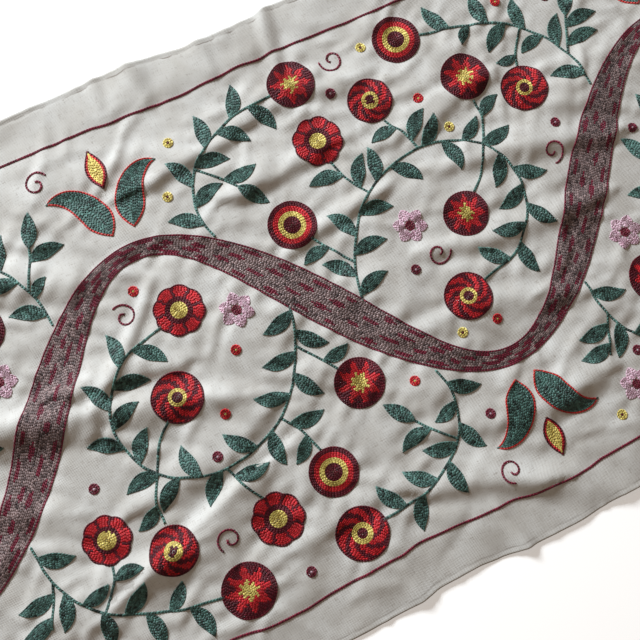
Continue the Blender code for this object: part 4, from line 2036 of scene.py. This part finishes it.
# The studio


@dataclass(frozen=True)
class Studio:
    """The camera, the soft light and the pale surface that the cloth lies on."""

    focal_mm: float = 45.0
    roll: float = math.radians(24.99)
    tilt: float = math.radians(7.09)
    tilt_towards: float = math.radians(55.0)
    distance: float = 660.8
    target: tuple[float, float, float] = (0.0, -10.54, 0.0)
    window_place: tuple[float, float, float] = (-0.60, 1.70, 0.85)
    window_size: float = 0.5
    window_watts: float = 80.0
    window_colour: str = "#F1F8FF"
    fill_colour: str = "#FFE6CF"
    fill_strength: float = 0.275
    floor_size: float = 6.0
    floor_colour: str = "#F6F6F4"
    # The photo's ground is pure white, as on a light table, so the floor gives a little light itself.
    floor_glow: float = 0.30

    def camera(self) -> None:
        """Places the camera over the cloth, turned and tilted as the photo's was."""
        right = Vector((math.cos(self.roll), -math.sin(self.roll), 0.0))
        up = Vector((math.sin(self.roll), math.cos(self.roll), 0.0))
        lean = math.cos(self.tilt_towards) * right + math.sin(self.tilt_towards) * up
        back = Vector((0.0, 0.0, math.cos(self.tilt))) - lean * math.sin(self.tilt)
        across = (right - back * right.dot(back)).normalized()
        over = back.cross(across)
        eye = (Vector(self.target) + back * self.distance) * MM
        data = bpy.data.cameras.new("camera")
        data.lens = self.focal_mm
        data.sensor_width = 36.0
        data.clip_start = 0.01
        camera = bpy.data.objects.new("camera", data)
        camera.matrix_world = Matrix((
            (across.x, over.x, back.x, eye.x), (across.y, over.y, back.y, eye.y),
            (across.z, over.z, back.z, eye.z), (0.0, 0.0, 0.0, 1.0),
        ))
        bpy.context.scene.collection.objects.link(camera)
        bpy.context.scene.camera = camera

    def lights(self) -> None:
        """Lights the cloth from the side of its upper selvage, as by a window, with a pale fill."""
        data = bpy.data.lights.new("window", "AREA")
        data.shape, data.size, data.energy = "SQUARE", self.window_size, self.window_watts
        data.color = linear_colour(self.window_colour)[:3]
        window = bpy.data.objects.new("window", data)
        window.location = self.window_place
        window.rotation_euler = (-Vector(self.window_place)).to_track_quat("-Z", "Y").to_euler()
        bpy.context.scene.collection.objects.link(window)
        world = bpy.data.worlds.new("studio")
        world.use_nodes = True
        background = world.node_tree.nodes["Background"]
        background.inputs["Color"].default_value = linear_colour(self.fill_colour)
        background.inputs["Strength"].default_value = self.fill_strength
        bpy.context.scene.world = world

    def floor(self) -> None:
        """Makes the plain pale surface."""
        mesh = bpy.data.meshes.new("floor")
        sketch = bmesh.new()
        bmesh.ops.create_grid(sketch, x_segments=1, y_segments=1, size=self.floor_size / 2.0)
        sketch.to_mesh(mesh)
        sketch.free()
        material, shader = plain_material("pale_matt_floor")
        shader.inputs["Base Color"].default_value = linear_colour(self.floor_colour)
        shader.inputs["Roughness"].default_value = 0.9
        shader.inputs["Emission Color"].default_value = linear_colour("#FFFFFF")
        shader.inputs["Emission Strength"].default_value = self.floor_glow
        mesh.materials.append(material)
        floor = bpy.data.objects.new("floor", mesh)
        bpy.context.scene.collection.objects.link(floor)


def main() -> None:
    """Builds the textile and its studio."""
    logging.basicConfig(level=logging.INFO, format="%(message)s")
    studio = Studio()
    studio.camera()
    studio.lights()
    studio.floor()
    bpy.context.scene.view_settings.view_transform = "Standard"
    stitches = SuzaniDesign().work_all()
    log.info("design: %d stitches", len(stitches.length))
    surface = ClothSurface(ClothForm())
    surface.draw_in(stitches)
    cloth = Cloth(surface).build()
    yarns = Embroidery(surface, stitches).build()
    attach(cloth, "root")
    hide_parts(CLOTH_NODE)
    for piece in yarns:
        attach(piece, "root")


if __name__ == "__main__":
    main()
